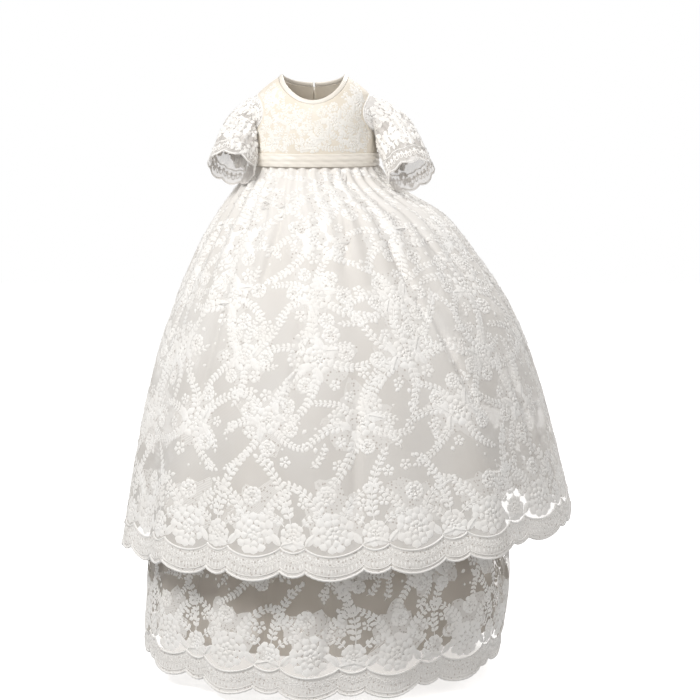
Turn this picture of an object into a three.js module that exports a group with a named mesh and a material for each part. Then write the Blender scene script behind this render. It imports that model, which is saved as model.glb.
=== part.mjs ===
// Christening gown as it hangs on its wearer: a lace bodice with elbow sleeves, a satin waist sash,
// a long flared lace overskirt, a lace flounce below it and the lining that shows through the lace.
// Millimetres, +Z up. The front faces -Y and +X is the wearer's left. The origin is in the middle of
// the neck opening, at the height where the shoulder seams reach the neckline.
import * as THREE from 'three';

// Cloth and seams
const LACE_THICKNESS = 1.2;
const LINING_THICKNESS = 1.0;
const SATIN_THICKNESS = 1.4;
const SEAM_GAP = 0.3;
const LAID_ON_GAP = 0.7; // between a panel's facets and a piece that lies on them

// Heights of the main lines
const WAIST_Z = -126;
const UNDERARM_Z = -80;
const SHOULDER_TIP_Z = -25;

// Directions round the body, in degrees from +X towards the back
const LEFT_SIDE = 0;
const CENTRE_BACK = 90;
const QUARTER_TURN = 90;
const RIGHT_SIDE = 180;
const FULL_TURN = 360;

// Bodice: level sections from the neck down, half an ellipse before the side seams and half behind
const BODICE_SECTIONS = [
  { z: 0, centre: 0, halfWidth: 50, front: 36, back: 37 },
  { z: -10, centre: 0, halfWidth: 64, front: 43, back: 42 },
  { z: -25, centre: 0, halfWidth: 80, front: 53, back: 50 },
  { z: -50, centre: 0, halfWidth: 87, front: 69, back: 64 },
  { z: -80, centre: 0, halfWidth: 89, front: 77, back: 70 },
  { z: -105, centre: 0, halfWidth: 91, front: 79, back: 72 },
  { z: -130, centre: 0, halfWidth: 92, front: 78, back: 72 },
];
const NECK_DROP_FRONT = 38;
const NECK_DROP_BACK = 14;
const ARMHOLE_REACH = 36; // degrees forward and back of the side seam
const NECK_ROUNDNESS = 1.3;
const EDGE_STEPS = { sideSeam: 2, armhole: 8, neck: 9 };
const HALF_COLUMNS = 10;
const LEAST_ROW = 0.8; // rows of a panel are further apart than this

// Neck binding: an oval band that stands on the neckline
const BINDING_HEIGHT = 7;
const BINDING_THICKNESS = 2.6;
const BINDING_SIDES = 6;
const BINDING_STEPS = 20; // before and behind the shoulder seams
const BACK_OPENING_HALF = 1.5; // degrees each side of the centre back

// Button placket on the centre back
const PLACKET_HALF_WIDTH = 6; // degrees
const PLACKET_TOP_Z = -20;
const PLACKET_BOTTOM_Z = -104;
const PLACKET_ROWS = 6;
const BUTTON_HEIGHTS = [-34, -62, -90];
const BUTTON_RADIUS = 5;
const BUTTON_THICKNESS = 3;
const BUTTON_SEGMENTS = 12;

// Waist sash: a ribbon with soft lengthwise folds over the foot of the bodice
const SASH_TOP_Z = -107;
const SASH_BOTTOM_Z = -125.6;
const SASH_FOLD_HEIGHTS = [0, 1.1, 0.2, 1.0, 0];
const SASH_COLUMNS = 44;

// Sleeves: from the armhole to an elbow cuff, one row each. They leave the body by the reach first.
const SLEEVES = [
  { name: 'sleeve_left', side: 1, reach: 26, cuffX: 138, cuffY: -64, cuffZ: -136 },
  { name: 'sleeve_right', side: -1, reach: 10, cuffX: -115, cuffY: -62, cuffZ: -126 },
];
const SLEEVE_DROP = 10; // below the armhole's middle, where the sleeve turns down
const UNDERARM_CLEARANCE = 5; // between the sleeve and the side of the bodice
const SLEEVE_RADIUS = 28;
const CUFF_RADIUS = 33;
const CUFF_TILT = 39; // degrees that the outer edge of the cuff stands above level
const SLEEVE_STEPS = 6;
const CUFF_SCALLOPS = 8;
const CUFF_SCALLOP_DEPTH = 5;

// Skirt sections: height, sideways centre, half width, depth before and behind, waist gather height
const OVERSKIRT_SECTIONS = [
  { z: -126.4, centre: 1, halfWidth: 92, front: 78, back: 73, gather: 2.2 },
  { z: -145, centre: 3, halfWidth: 103, front: 93, back: 87, gather: 3.0 },
  { z: -165, centre: 9, halfWidth: 124, front: 117, back: 109, gather: 3.4 },
  { z: -195, centre: 23, halfWidth: 160, front: 146, back: 138, gather: 3.0 },
  { z: -250, centre: 30, halfWidth: 199, front: 181, back: 173, gather: 2.0 },
  { z: -330, centre: 39, halfWidth: 242, front: 219, back: 211, gather: 0.8 },
  { z: -430, centre: 43, halfWidth: 277, front: 250, back: 243, gather: 0 },
  { z: -530, centre: 46, halfWidth: 300, front: 272, back: 266, gather: 0 },
  { z: -625, centre: 49, halfWidth: 317, front: 290, back: 284, gather: 0 },
  { z: -652, centre: 50, halfWidth: 322, front: 296, back: 290, gather: 0 },
];
const FLOUNCE_SECTIONS = [
  { z: -560, centre: 20, halfWidth: 232, front: 212, back: 206, gather: 1.8 },
  { z: -610, centre: 21, halfWidth: 249, front: 228, back: 221, gather: 1.2 },
  { z: -680, centre: 21, halfWidth: 262, front: 239, back: 232, gather: 0 },
  { z: -750, centre: 20, halfWidth: 264, front: 242, back: 235, gather: 0 },
  { z: -808, centre: 15, halfWidth: 261, front: 242, back: 235, gather: 0 },
  { z: -833, centre: 13, halfWidth: 259, front: 241, back: 234, gather: 0 },
];
const LINING_SECTIONS = [
  { z: -127, centre: 1, halfWidth: 87, front: 73, back: 69, gather: 0 },
  { z: -165, centre: 3, halfWidth: 97, front: 84, back: 79, gather: 0 },
  { z: -260, centre: 8, halfWidth: 130, front: 114, back: 109, gather: 0 },
  { z: -400, centre: 14, halfWidth: 178, front: 159, back: 153, gather: 0 },
  { z: -560, centre: 20, halfWidth: 227, front: 207, back: 201, gather: 0 },
  { z: -680, centre: 21, halfWidth: 241, front: 219, back: 213, gather: 0 },
  { z: -790, centre: 18, halfWidth: 244, front: 224, back: 218, gather: 0 },
];

// Long soft folds: direction, half width in degrees, and height at the hem
const OVERSKIRT_FOLDS = [
  { at: 12, width: 9, height: 9 },
  { at: 37, width: 8, height: 12 },
  { at: 63, width: 10, height: 10 },
  { at: 92, width: 8, height: 13 },
  { at: 118, width: 10, height: 9 },
  { at: 143, width: 8, height: 12 },
  { at: 168, width: 9, height: 8 },
  { at: 194, width: 8, height: 10 },
  { at: 219, width: 7, height: 14 },
  { at: 241, width: 8, height: 9 },
  { at: 262, width: 7, height: 11 },
  { at: 283, width: 9, height: 8 },
  { at: 306, width: 8, height: 12 },
  { at: 333, width: 9, height: 9 },
];
const FLOUNCE_FOLDS = [
  { at: 20, width: 10, height: 9 },
  { at: 55, width: 11, height: 11 },
  { at: 95, width: 10, height: 9 },
  { at: 130, width: 12, height: 11 },
  { at: 170, width: 10, height: 7 },
  { at: 212, width: 9, height: 9 },
  { at: 240, width: 8, height: 12 },
  { at: 262, width: 8, height: 10 },
  { at: 290, width: 10, height: 9 },
  { at: 322, width: 9, height: 11 },
];

// Hem edge: each repeat of the lace border is one wide scallop and one narrow scallop
const WIDE_SHARE = 0.68;
const WIDE_DEPTH = 13;
const NARROW_DEPTH = 7;
const SCALLOP_BAND = 40; // height over which the wall bends into the scallops
const REPEAT_COLUMNS = [0, 0.09, 0.21, 0.34, 0.47, 0.59, 0.68, 0.84];

// Skirts: lace repeats and waist gathers all round, rise of the hem on the wearer's left and at both
// sides, and the heights of the wall's rows
const OVERSKIRT = {
  sections: OVERSKIRT_SECTIONS,
  folds: OVERSKIRT_FOLDS,
  repeats: 18,
  gathers: 36,
  hemTilt: 21,
  sideRise: 14,
  rows: [-126.4, -145, -165, -200, -260, -345, -440, -540, -620, -652],
};
const FLOUNCE = {
  sections: FLOUNCE_SECTIONS,
  folds: FLOUNCE_FOLDS,
  repeats: 14,
  gathers: 28,
  hemTilt: 0,
  sideRise: 16,
  rows: [-560, -605, -670, -740, -801, -833],
};
const LINING = {
  sections: LINING_SECTIONS,
  folds: [],
  repeats: 0,
  gathers: 0,
  hemTilt: 0,
  sideRise: 0,
  rows: [-127, -165, -260, -400, -560, -680, -790],
};
const LINING_COLUMNS = 20; // on each half

// Finishes
const LACE_IVORY = { color: 0xf3ede4, roughness: 0.85, metalness: 0 };
const BODICE_IVORY = { color: 0xf2e8da, roughness: 0.75, metalness: 0 };
const SATIN_CREAM = { color: 0xf1e6d4, roughness: 0.4, metalness: 0 };
const LINING_CHAMPAGNE = { color: 0xd9c9b4, roughness: 0.55, metalness: 0 };
const PEARL = { color: 0xf4efe6, roughness: 0.3, metalness: 0 };

const radians = THREE.MathUtils.degToRad;
const degrees = THREE.MathUtils.radToDeg;
const lerp = THREE.MathUtils.lerp;
const smoothstep = THREE.MathUtils.smoothstep;

// Smooth value of one column of a section table at a height, through all its rows
function sectionAt(table, column, z) {
  const found = table.findIndex((row) => row.z <= z);
  const low = THREE.MathUtils.clamp(found < 0 ? table.length - 1 : found, 1, table.length - 1);
  const slopeAt = (i) => {
    const above = table[Math.max(i - 1, 0)];
    const below = table[Math.min(i + 1, table.length - 1)];
    return (below[column] - above[column]) / (above.z - below.z);
  };
  const span = table[low - 1].z - table[low].z;
  const t = THREE.MathUtils.clamp((table[low - 1].z - z) / span, 0, 1);
  const rise = t * t * (3 - 2 * t);
  const leaving = span * slopeAt(low - 1) * t * (1 - t) * (1 - t);
  const arriving = span * slopeAt(low) * t * t * (t - 1);
  return lerp(table[low - 1][column], table[low][column], rise) + leaving + arriving;
}

// Point of a section table at a direction and a height
function sectionPoint(table, direction, z) {
  const angle = radians(direction);
  const side = Math.sin(angle) < 0 ? 'front' : 'back';
  const x = sectionAt(table, 'centre', z) + sectionAt(table, 'halfWidth', z) * Math.cos(angle);
  return new THREE.Vector3(x, sectionAt(table, side, z) * Math.sin(angle), z);
}

// Unit normal of a surface given as a function of two numbers, by differences of the given steps
function surfaceNormal(pointAt, a, b, stepA, stepB) {
  const alongA = pointAt(a + stepA, b).sub(pointAt(a - stepA, b));
  const alongB = pointAt(a, b + stepB).sub(pointAt(a, b - stepB));
  return alongA.cross(alongB).normalize();
}

// Closed solid from faces over shared vertices, turned so that its faces point out
function solidFrom(vertices, faces) {
  const corner = (i) => vertices[i];
  const edgeNormal = new THREE.Vector3();
  let volume = 0;
  for (const [a, b, c] of faces) {
    volume += edgeNormal.crossVectors(corner(b), corner(c)).dot(corner(a));
  }
  const ordered = volume < 0 ? faces.map(([a, b, c]) => [a, c, b]) : faces;
  const geometry = new THREE.BufferGeometry().setFromPoints(vertices);
  geometry.setIndex(ordered.flat());
  geometry.computeVertexNormals();
  return geometry;
}

// Two triangles for the four corners of a cell
function quad(a, b, c, d) {
  return [[a, b, c], [a, c, d]];
}

// Cloth wall over a grid: outside(column, row) gives the outer point and its normal.
// A round wall joins its last column to its first.
function clothWall(columns, rows, thickness, outside, round = false) {
  const vertices = [];
  for (const depth of [0, thickness]) {
    for (let row = 0; row < rows; row += 1) {
      for (let column = 0; column < columns; column += 1) {
        const { point, normal } = outside(column, row);
        vertices.push(point.clone().addScaledVector(normal, -depth));
      }
    }
  }
  const at = (layer, row, column) => (layer * rows + row) * columns + (column % columns);
  const faces = [];
  const cells = round ? columns : columns - 1;
  for (let column = 0; column < cells; column += 1) {
    const next = column + 1;
    for (let row = 0; row < rows - 1; row += 1) {
      faces.push(...quad(at(0, row, column), at(0, row, next), at(0, row + 1, next), at(0, row + 1, column)));
      faces.push(...quad(at(1, row + 1, column), at(1, row + 1, next), at(1, row, next), at(1, row, column)));
    }
    const last = rows - 1;
    faces.push(...quad(at(1, 0, column), at(1, 0, next), at(0, 0, next), at(0, 0, column)));
    faces.push(...quad(at(0, last, column), at(0, last, next), at(1, last, next), at(1, last, column)));
  }
  if (!round) {
    const end = columns - 1;
    for (let row = 0; row < rows - 1; row += 1) {
      faces.push(...quad(at(0, row, 0), at(0, row + 1, 0), at(1, row + 1, 0), at(1, row, 0)));
      faces.push(...quad(at(1, row, end), at(1, row + 1, end), at(0, row + 1, end), at(0, row, end)));
    }
  }
  return solidFrom(vertices, faces);
}

// Cloth wall over grids of stops, joined where two grids have the same stop: a direction and a height
function joinedWall(grids, thickness, outside) {
  const numbers = new Map();
  const stops = [];
  const numberOf = (stop) => {
    const key = stop.map((value) => value.toFixed(4)).join(' ');
    if (!numbers.has(key)) {
      numbers.set(key, stops.length);
      stops.push(stop);
    }
    return numbers.get(key);
  };
  const cells = [];
  for (const grid of grids) {
    for (let row = 0; row < grid.length - 1; row += 1) {
      for (let column = 0; column < grid[row].length - 1; column += 1) {
        const low = [grid[row][column], grid[row][column + 1]];
        const high = [grid[row + 1][column + 1], grid[row + 1][column]];
        const corners = [...low, ...high].map(numberOf);
        cells.push(...quad(...corners).filter(([a, b, c]) => a !== b && b !== c && c !== a));
      }
    }
  }
  const rim = new Map();
  for (const [a, b, c] of cells) {
    for (const [from, to] of [[a, b], [b, c], [c, a]]) {
      if (!rim.delete(`${to} ${from}`)) {
        rim.set(`${from} ${to}`, [from, to]);
      }
    }
  }
  const walls = stops.map(([direction, z]) => outside(direction, z));
  const outer = walls.map(({ point }) => point);
  const inner = walls.map(({ point, normal }) => point.clone().addScaledVector(normal, -thickness));
  const count = stops.length;
  const faces = [...cells, ...cells.map(([a, b, c]) => [a + count, c + count, b + count])];
  for (const [from, to] of rim.values()) {
    faces.push(...quad(to, from, from + count, to + count));
  }
  return solidFrom([...outer, ...inner], faces);
}

function piece(name, geometry, finish) {
  const mesh = new THREE.Mesh(geometry, new THREE.MeshStandardMaterial(finish));
  mesh.name = name;
  return mesh;
}

// Bodice

const bodicePoint = (direction, z) => sectionPoint(BODICE_SECTIONS, direction, z);

function bodiceNormal(direction, z) {
  const inside = Math.min(z, -1);
  return surfaceNormal((d, height) => bodicePoint(d, height), direction, inside, 0.5, 0.5);
}

// Distance from the middle to the side of the bodice at a depth and a height
function bodiceHalfWidthAt(y, z) {
  const depth = sectionAt(BODICE_SECTIONS, y < 0 ? 'front' : 'back', z);
  const share = Math.min(Math.abs(y / depth), 1);
  return sectionAt(BODICE_SECTIONS, 'halfWidth', z) * Math.sqrt(1 - share * share);
}

// Direction and height on the neckline, from one shoulder (0) over the front or back to the other (1)
function necklineAt(share, drop, start, sense) {
  const swing = Math.PI * share;
  const z = -drop * Math.sin(swing) ** NECK_ROUNDNESS;
  const across = BODICE_SECTIONS[0].halfWidth * Math.cos(swing);
  const acrossShare = across / sectionAt(BODICE_SECTIONS, 'halfWidth', z);
  return { direction: start + sense * degrees(Math.acos(acrossShare)), z };
}

// Degrees from the side seam to the armhole at a height
function armholeReach(z) {
  const middle = (UNDERARM_Z + SHOULDER_TIP_Z) / 2;
  const halfHeight = (SHOULDER_TIP_Z - UNDERARM_Z) / 2;
  const share = Math.min(Math.abs(z - middle) / halfHeight, 1);
  return ARMHOLE_REACH * Math.sqrt(1 - share * share);
}

// Degrees from the side seam to the neckline at a height, or to the centre line below it
function neckReach(z, drop) {
  if (z <= -drop) {
    return QUARTER_TURN;
  }
  const across = BODICE_SECTIONS[0].halfWidth * Math.sqrt(1 - (-z / drop) ** (2 / NECK_ROUNDNESS));
  return degrees(Math.acos(across / sectionAt(BODICE_SECTIONS, 'halfWidth', z)));
}

// Heights of a panel's rows: evenly up the side seam, then where the armhole and the neckline turn
function panelLevels(drop) {
  const { sideSeam, armhole, neck } = EDGE_STEPS;
  const levels = [];
  for (let i = 0; i < sideSeam; i += 1) {
    levels.push(lerp(WAIST_Z, UNDERARM_Z, i / sideSeam));
  }
  for (let i = 0; i <= armhole; i += 1) {
    const swing = Math.PI * (i / armhole);
    levels.push((UNDERARM_Z + SHOULDER_TIP_Z) / 2 - ((SHOULDER_TIP_Z - UNDERARM_Z) / 2) * Math.cos(swing));
  }
  const necks = [];
  for (let i = 0; i <= neck; i += 1) {
    const swing = (Math.PI / 2) * (i / neck);
    necks.push(i === 0 ? 0 : -drop * Math.sin(swing) ** NECK_ROUNDNESS);
  }
  const apart = levels.filter((z) => necks.every((other) => Math.abs(z - other) > LEAST_ROW));
  return [...apart, ...necks].sort((a, b) => a - b);
}

// Keeps a panel clear of the seam lines at its two limits
function insideSeams(direction, z, from, to) {
  const side = Math.sin(radians((from + to) / 2)) < 0 ? 'front' : 'back';
  const margin = degrees(SEAM_GAP / 2 / sectionAt(BODICE_SECTIONS, side, z));
  return THREE.MathUtils.clamp(direction, from + margin, to - margin);
}

// Half of a bodice panel as rows of stops, from its side seam towards the centre front or back
function panelHalf(seam, sense, drop, [from, to]) {
  return panelLevels(drop).map((z) => {
    const row = [];
    for (let column = 0; column <= HALF_COLUMNS; column += 1) {
      const reach = lerp(armholeReach(z), neckReach(z, drop), column / HALF_COLUMNS);
      row.push([insideSeams(seam + sense * reach, z, from, to), z]);
    }
    return sense > 0 ? row : row.reverse();
  });
}

function bodicePanel(name, halves) {
  const outside = (...stop) => ({ point: bodicePoint(...stop), normal: bodiceNormal(...stop) });
  return piece(name, joinedWall(halves, LACE_THICKNESS, outside), BODICE_IVORY);
}

const frontNeckline = (share) => necklineAt(share, NECK_DROP_FRONT, FULL_TURN, -1);
const backNeckline = (share) => necklineAt(share, NECK_DROP_BACK, LEFT_SIDE, 1);

function bodicePanels() {
  const front = [RIGHT_SIDE, FULL_TURN];
  const frontHalves = [
    panelHalf(RIGHT_SIDE, 1, NECK_DROP_FRONT, front),
    panelHalf(FULL_TURN, -1, NECK_DROP_FRONT, front),
  ];
  return [
    bodicePanel('bodice_front', frontHalves),
    bodicePanel('bodice_back_left', [panelHalf(LEFT_SIDE, 1, NECK_DROP_BACK, [LEFT_SIDE, CENTRE_BACK])]),
    bodicePanel('bodice_back_right', [panelHalf(RIGHT_SIDE, -1, NECK_DROP_BACK, [CENTRE_BACK, RIGHT_SIDE])]),
  ];
}

// Band round the neck, standing on the neckline and open at the centre back
function neckBinding() {
  const stops = [];
  const backStart = 0.5 + BACK_OPENING_HALF / RIGHT_SIDE;
  for (let i = 0; i < BINDING_STEPS / 2; i += 1) {
    stops.push(backNeckline(lerp(backStart, 1, i / (BINDING_STEPS / 2))));
  }
  for (let i = 0; i < BINDING_STEPS; i += 1) {
    stops.push(frontNeckline(1 - i / BINDING_STEPS));
  }
  for (let i = 0; i <= BINDING_STEPS / 2; i += 1) {
    stops.push(backNeckline(lerp(0, 1 - backStart, i / (BINDING_STEPS / 2))));
  }
  const edge = stops.map(({ direction, z }) => {
    const normal = bodiceNormal(direction, z);
    return { normal, point: bodicePoint(direction, z).addScaledVector(normal, -LACE_THICKNESS / 2) };
  });
  const vertices = [];
  edge.forEach(({ point, normal }, i) => {
    const before = edge[Math.max(i - 1, 0)].point;
    const after = edge[Math.min(i + 1, edge.length - 1)].point;
    const along = after.clone().sub(before).normalize();
    const upward = new THREE.Vector3().crossVectors(normal, along).normalize();
    const standing = upward.z < 0 ? upward.negate() : upward;
    const centre = point.clone().addScaledVector(standing, BINDING_HEIGHT / 2 + SEAM_GAP);
    for (let side = 0; side < BINDING_SIDES; side += 1) {
      const swing = (2 * Math.PI * side) / BINDING_SIDES;
      const vertex = centre.clone();
      vertex.addScaledVector(standing, (BINDING_HEIGHT / 2) * Math.cos(swing));
      vertex.addScaledVector(normal, (BINDING_THICKNESS / 2) * Math.sin(swing));
      vertices.push(vertex);
    }
  });
  const faces = [];
  const at = (ring, side) => ring * BINDING_SIDES + (side % BINDING_SIDES);
  const lastRing = edge.length - 1;
  for (let side = 0; side < BINDING_SIDES; side += 1) {
    for (let ring = 0; ring < lastRing; ring += 1) {
      faces.push(...quad(at(ring, side), at(ring, side + 1), at(ring + 1, side + 1), at(ring + 1, side)));
    }
  }
  for (let side = 1; side < BINDING_SIDES - 1; side += 1) {
    faces.push([at(0, 0), at(0, side + 1), at(0, side)]);
    faces.push([at(lastRing, 0), at(lastRing, side), at(lastRing, side + 1)]);
  }
  return piece('neck_binding', solidFrom(vertices, faces), SATIN_CREAM);
}

// Centre-back placket and its shank buttons
function backPlacket() {
  const columns = 3;
  const outside = (column, row) => {
    const direction = CENTRE_BACK + lerp(-PLACKET_HALF_WIDTH, PLACKET_HALF_WIDTH, column / (columns - 1));
    const z = lerp(PLACKET_TOP_Z, PLACKET_BOTTOM_Z, row / (PLACKET_ROWS - 1));
    const normal = bodiceNormal(direction, z);
    const point = bodicePoint(direction, z).addScaledVector(normal, LAID_ON_GAP + LACE_THICKNESS);
    return { point, normal };
  };
  return piece('back_placket', clothWall(columns, PLACKET_ROWS, LACE_THICKNESS, outside), BODICE_IVORY);
}

function backButtons() {
  const profile = [
    new THREE.Vector2(0, 0),
    new THREE.Vector2(BUTTON_RADIUS * 0.8, 0),
    new THREE.Vector2(BUTTON_RADIUS, BUTTON_THICKNESS * 0.4),
    new THREE.Vector2(BUTTON_RADIUS * 0.6, BUTTON_THICKNESS * 0.9),
    new THREE.Vector2(0, BUTTON_THICKNESS),
  ];
  return BUTTON_HEIGHTS.map((z, i) => {
    const button = piece(`back_button_${i + 1}`, new THREE.LatheGeometry(profile, BUTTON_SEGMENTS), PEARL);
    const normal = bodiceNormal(CENTRE_BACK, z);
    const lift = LAID_ON_GAP + LACE_THICKNESS + SEAM_GAP;
    button.position.copy(bodicePoint(CENTRE_BACK, z).addScaledVector(normal, lift));
    button.quaternion.setFromUnitVectors(new THREE.Vector3(0, 1, 0), normal);
    return button;
  });
}

function waistSash() {
  const rows = SASH_FOLD_HEIGHTS.length;
  const outside = (column, row) => {
    const direction = (FULL_TURN * column) / SASH_COLUMNS;
    const z = lerp(SASH_TOP_Z, SASH_BOTTOM_Z, row / (rows - 1));
    const normal = bodiceNormal(direction, z);
    const lift = LAID_ON_GAP + SATIN_THICKNESS + SASH_FOLD_HEIGHTS[row];
    return { point: bodicePoint(direction, z).addScaledVector(normal, lift), normal };
  };
  return piece('waist_sash', clothWall(SASH_COLUMNS, rows, SATIN_THICKNESS, outside, true), SATIN_CREAM);
}

// Sleeves

// Point on the sleeve: swing goes from the shoulder tip (0) over the front, along runs armhole to cuff
function sleevePoint(sleeve, swing, along) {
  const middle = (UNDERARM_Z + SHOULDER_TIP_Z) / 2;
  const halfHeight = (SHOULDER_TIP_Z - UNDERARM_Z) / 2;
  const sideSeam = sleeve.side > 0 ? FULL_TURN : RIGHT_SIDE;
  const inset = 1 - SEAM_GAP / halfHeight;
  const away = ARMHOLE_REACH * inset * Math.sin(swing);
  const armhole = bodicePoint(sideSeam - sleeve.side * away, middle + halfHeight * inset * Math.cos(swing));

  const root = bodicePoint(sideSeam, middle);
  const turn = root.clone().add(new THREE.Vector3(sleeve.side * sleeve.reach, 0, -SLEEVE_DROP));
  const cuff = new THREE.Vector3(sleeve.cuffX, sleeve.cuffY, sleeve.cuffZ);
  const route = new THREE.QuadraticBezierCurve3(root, turn, cuff);
  const tangent = route.getTangent(along);
  const tilt = radians(lerp(90, CUFF_TILT, along));
  const outward = new THREE.Vector3(sleeve.side * Math.cos(tilt), 0, Math.sin(tilt));
  outward.addScaledVector(tangent, -outward.dot(tangent)).normalize();
  const forward = new THREE.Vector3().crossVectors(tangent, outward).multiplyScalar(sleeve.side);

  const radius = lerp(SLEEVE_RADIUS, CUFF_RADIUS, along * along);
  const ring = route.getPoint(along);
  ring.addScaledVector(outward, radius * Math.cos(swing));
  ring.addScaledVector(forward, radius * Math.sin(swing));
  const scallop = CUFF_SCALLOP_DEPTH * Math.abs(Math.sin((CUFF_SCALLOPS * swing) / 2));
  ring.addScaledVector(tangent, scallop * smoothstep(along, 0.75, 1));
  const point = armhole.lerp(ring, smoothstep(along, 0, 0.5));
  const clearance = UNDERARM_CLEARANCE * smoothstep(along, 0, 0.25);
  const nearest = bodiceHalfWidthAt(point.y, point.z) + clearance;
  point.x = sleeve.side * Math.max(sleeve.side * point.x, nearest);
  return point;
}

// The first ring keeps to the straight stretches of the armhole's edge, two columns to a stretch
function sleeveTube(sleeve) {
  const stretches = 2 * EDGE_STEPS.armhole;
  const columns = 2 * stretches;
  const pointAt = (swing, along) => sleevePoint(sleeve, swing, along);
  const armholeAt = (column) => {
    const before = pointAt((2 * Math.PI * Math.floor(column / 2)) / stretches, 0);
    const after = pointAt((2 * Math.PI * Math.ceil(column / 2)) / stretches, 0);
    return before.lerp(after, 0.5);
  };
  const outside = (column, row) => {
    const swing = (2 * Math.PI * column) / columns;
    const along = row / SLEEVE_STEPS;
    const inside = THREE.MathUtils.clamp(along, 0.02, 0.98);
    const normal = surfaceNormal(pointAt, swing, inside, 0.02, 0.02).multiplyScalar(sleeve.side);
    return { point: row === 0 ? armholeAt(column) : pointAt(swing, along), normal };
  };
  const geometry = clothWall(columns, SLEEVE_STEPS + 1, LACE_THICKNESS, outside, true);
  return piece(sleeve.name, geometry, LACE_IVORY);
}

// Skirts

// Depth of the hem's scallops at a share of the way round
function scallopDepth(repeats, turn) {
  const place = ((turn * repeats) % 1 + 1) % 1;
  if (place < WIDE_SHARE) {
    return WIDE_DEPTH * Math.sin((Math.PI * place) / WIDE_SHARE) ** 0.7;
  }
  return NARROW_DEPTH * Math.sin((Math.PI * (place - WIDE_SHARE)) / (1 - WIDE_SHARE)) ** 0.7;
}

// Height of the long folds at a direction, at the hem
function foldHeight(folds, direction) {
  let height = 0;
  for (const fold of folds) {
    const offset = ((direction - fold.at + 1.5 * FULL_TURN) % FULL_TURN) - FULL_TURN / 2;
    height += fold.height * Math.exp(-((offset / fold.width) ** 2));
  }
  return height;
}

// Point on a skirt at a direction and a nominal height, with its gathers, folds, tilt and scallops
function skirtPoint(skirt, direction, z) {
  const top = skirt.rows[0];
  const hem = skirt.rows[skirt.rows.length - 1];
  const down = Math.max(0, (top - z) / (top - hem));
  const turn = direction / FULL_TURN;
  const point = sectionPoint(skirt.sections, direction, z);
  const gather = sectionAt(skirt.sections, 'gather', z) * Math.cos(2 * Math.PI * skirt.gathers * turn);
  const fold = foldHeight(skirt.folds, direction) * down ** 1.3;
  const angle = radians(direction);
  const out = new THREE.Vector3(Math.cos(angle), Math.sin(angle), 0);
  point.addScaledVector(out, gather + fold);
  const across = Math.cos(angle);
  point.z += (skirt.hemTilt * across + skirt.sideRise * across * across) * down * down;
  if (skirt.repeats > 0) {
    const bend = smoothstep(hem + SCALLOP_BAND - z, 0, SCALLOP_BAND);
    point.z -= scallopDepth(skirt.repeats, turn) * bend;
  }
  return point;
}

// Directions of a half skirt's columns, clear of its two side seams
function halfDirections(skirt, from, to) {
  const spread = [];
  if (skirt.repeats > 0) {
    for (let i = 0; i < skirt.repeats / 2; i += 1) {
      REPEAT_COLUMNS.forEach((share) => spread.push((i + share) / (skirt.repeats / 2)));
    }
  } else {
    for (let i = 0; i < LINING_COLUMNS; i += 1) {
      spread.push(i / LINING_COLUMNS);
    }
  }
  spread.push(1);
  const margin = degrees(SEAM_GAP / 2 / skirt.sections[0].front);
  return spread.map((share) => lerp(from + margin, to - margin, share));
}

function halfSkirt(name, skirt, thickness, finish, from, to) {
  const directions = halfDirections(skirt, from, to);
  const pointAt = (direction, z) => skirtPoint(skirt, direction, z);
  const outside = (column, row) => {
    const direction = directions[column];
    const z = skirt.rows[row];
    const normal = surfaceNormal(pointAt, direction, z, 0.2, 0.5);
    return { point: pointAt(direction, z), normal };
  };
  return piece(name, clothWall(directions.length, skirt.rows.length, thickness, outside), finish);
}

function skirtHalves(name, skirt, thickness, finish) {
  return [
    halfSkirt(`${name}_front`, skirt, thickness, finish, RIGHT_SIDE, FULL_TURN),
    halfSkirt(`${name}_back`, skirt, thickness, finish, LEFT_SIDE, RIGHT_SIDE),
  ];
}

const gown = new THREE.Group();
gown.add(...bodicePanels(), neckBinding(), backPlacket(), ...backButtons(), waistSash());
gown.add(...SLEEVES.map(sleeveTube));
gown.add(...skirtHalves('overskirt', OVERSKIRT, LACE_THICKNESS, LACE_IVORY));
gown.add(...skirtHalves('flounce', FLOUNCE, LACE_THICKNESS, LACE_IVORY));
gown.add(...skirtHalves('lining', LINING, LINING_THICKNESS, LINING_CHAMPAGNE));

export default gown;
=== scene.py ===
# Christening gown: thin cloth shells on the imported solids, with raised lace sewn over them.
# Lengths are in millimetres, as the gown is cut, and are scaled by MM when a mesh is made.
# Directions are in degrees round the gown: wearer's left 0, centre back 90, right 180, front 270.
import math
import random

import bpy
import numpy as np
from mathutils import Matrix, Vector


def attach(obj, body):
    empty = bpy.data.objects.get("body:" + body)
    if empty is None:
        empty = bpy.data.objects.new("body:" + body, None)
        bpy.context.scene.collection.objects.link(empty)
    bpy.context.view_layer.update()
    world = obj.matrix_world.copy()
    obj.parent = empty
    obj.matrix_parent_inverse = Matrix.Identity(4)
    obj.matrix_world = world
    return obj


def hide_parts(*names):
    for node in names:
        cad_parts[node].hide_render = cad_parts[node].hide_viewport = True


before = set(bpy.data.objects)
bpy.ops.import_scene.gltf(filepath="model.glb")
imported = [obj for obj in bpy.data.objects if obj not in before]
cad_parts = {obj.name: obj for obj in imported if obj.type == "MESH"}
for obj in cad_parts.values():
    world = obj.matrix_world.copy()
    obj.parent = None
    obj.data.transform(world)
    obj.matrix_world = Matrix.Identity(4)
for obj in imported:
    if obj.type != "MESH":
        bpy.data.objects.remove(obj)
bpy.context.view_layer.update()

MM = 0.001
FULL_TURN = 360.0
CENTRE_BACK = 90.0
RIGHT_SIDE = 180.0
CENTRE_FRONT = 270.0
SEAM_GAP = 0.3
rng = random.Random(1907)


# Sections of the gown, each row a height with the sizes of an oval

def section_table(columns, rows):
    """Columns of a section table by name, from its rows, top row first."""
    return dict(zip(columns, np.array(rows, float).T))


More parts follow.
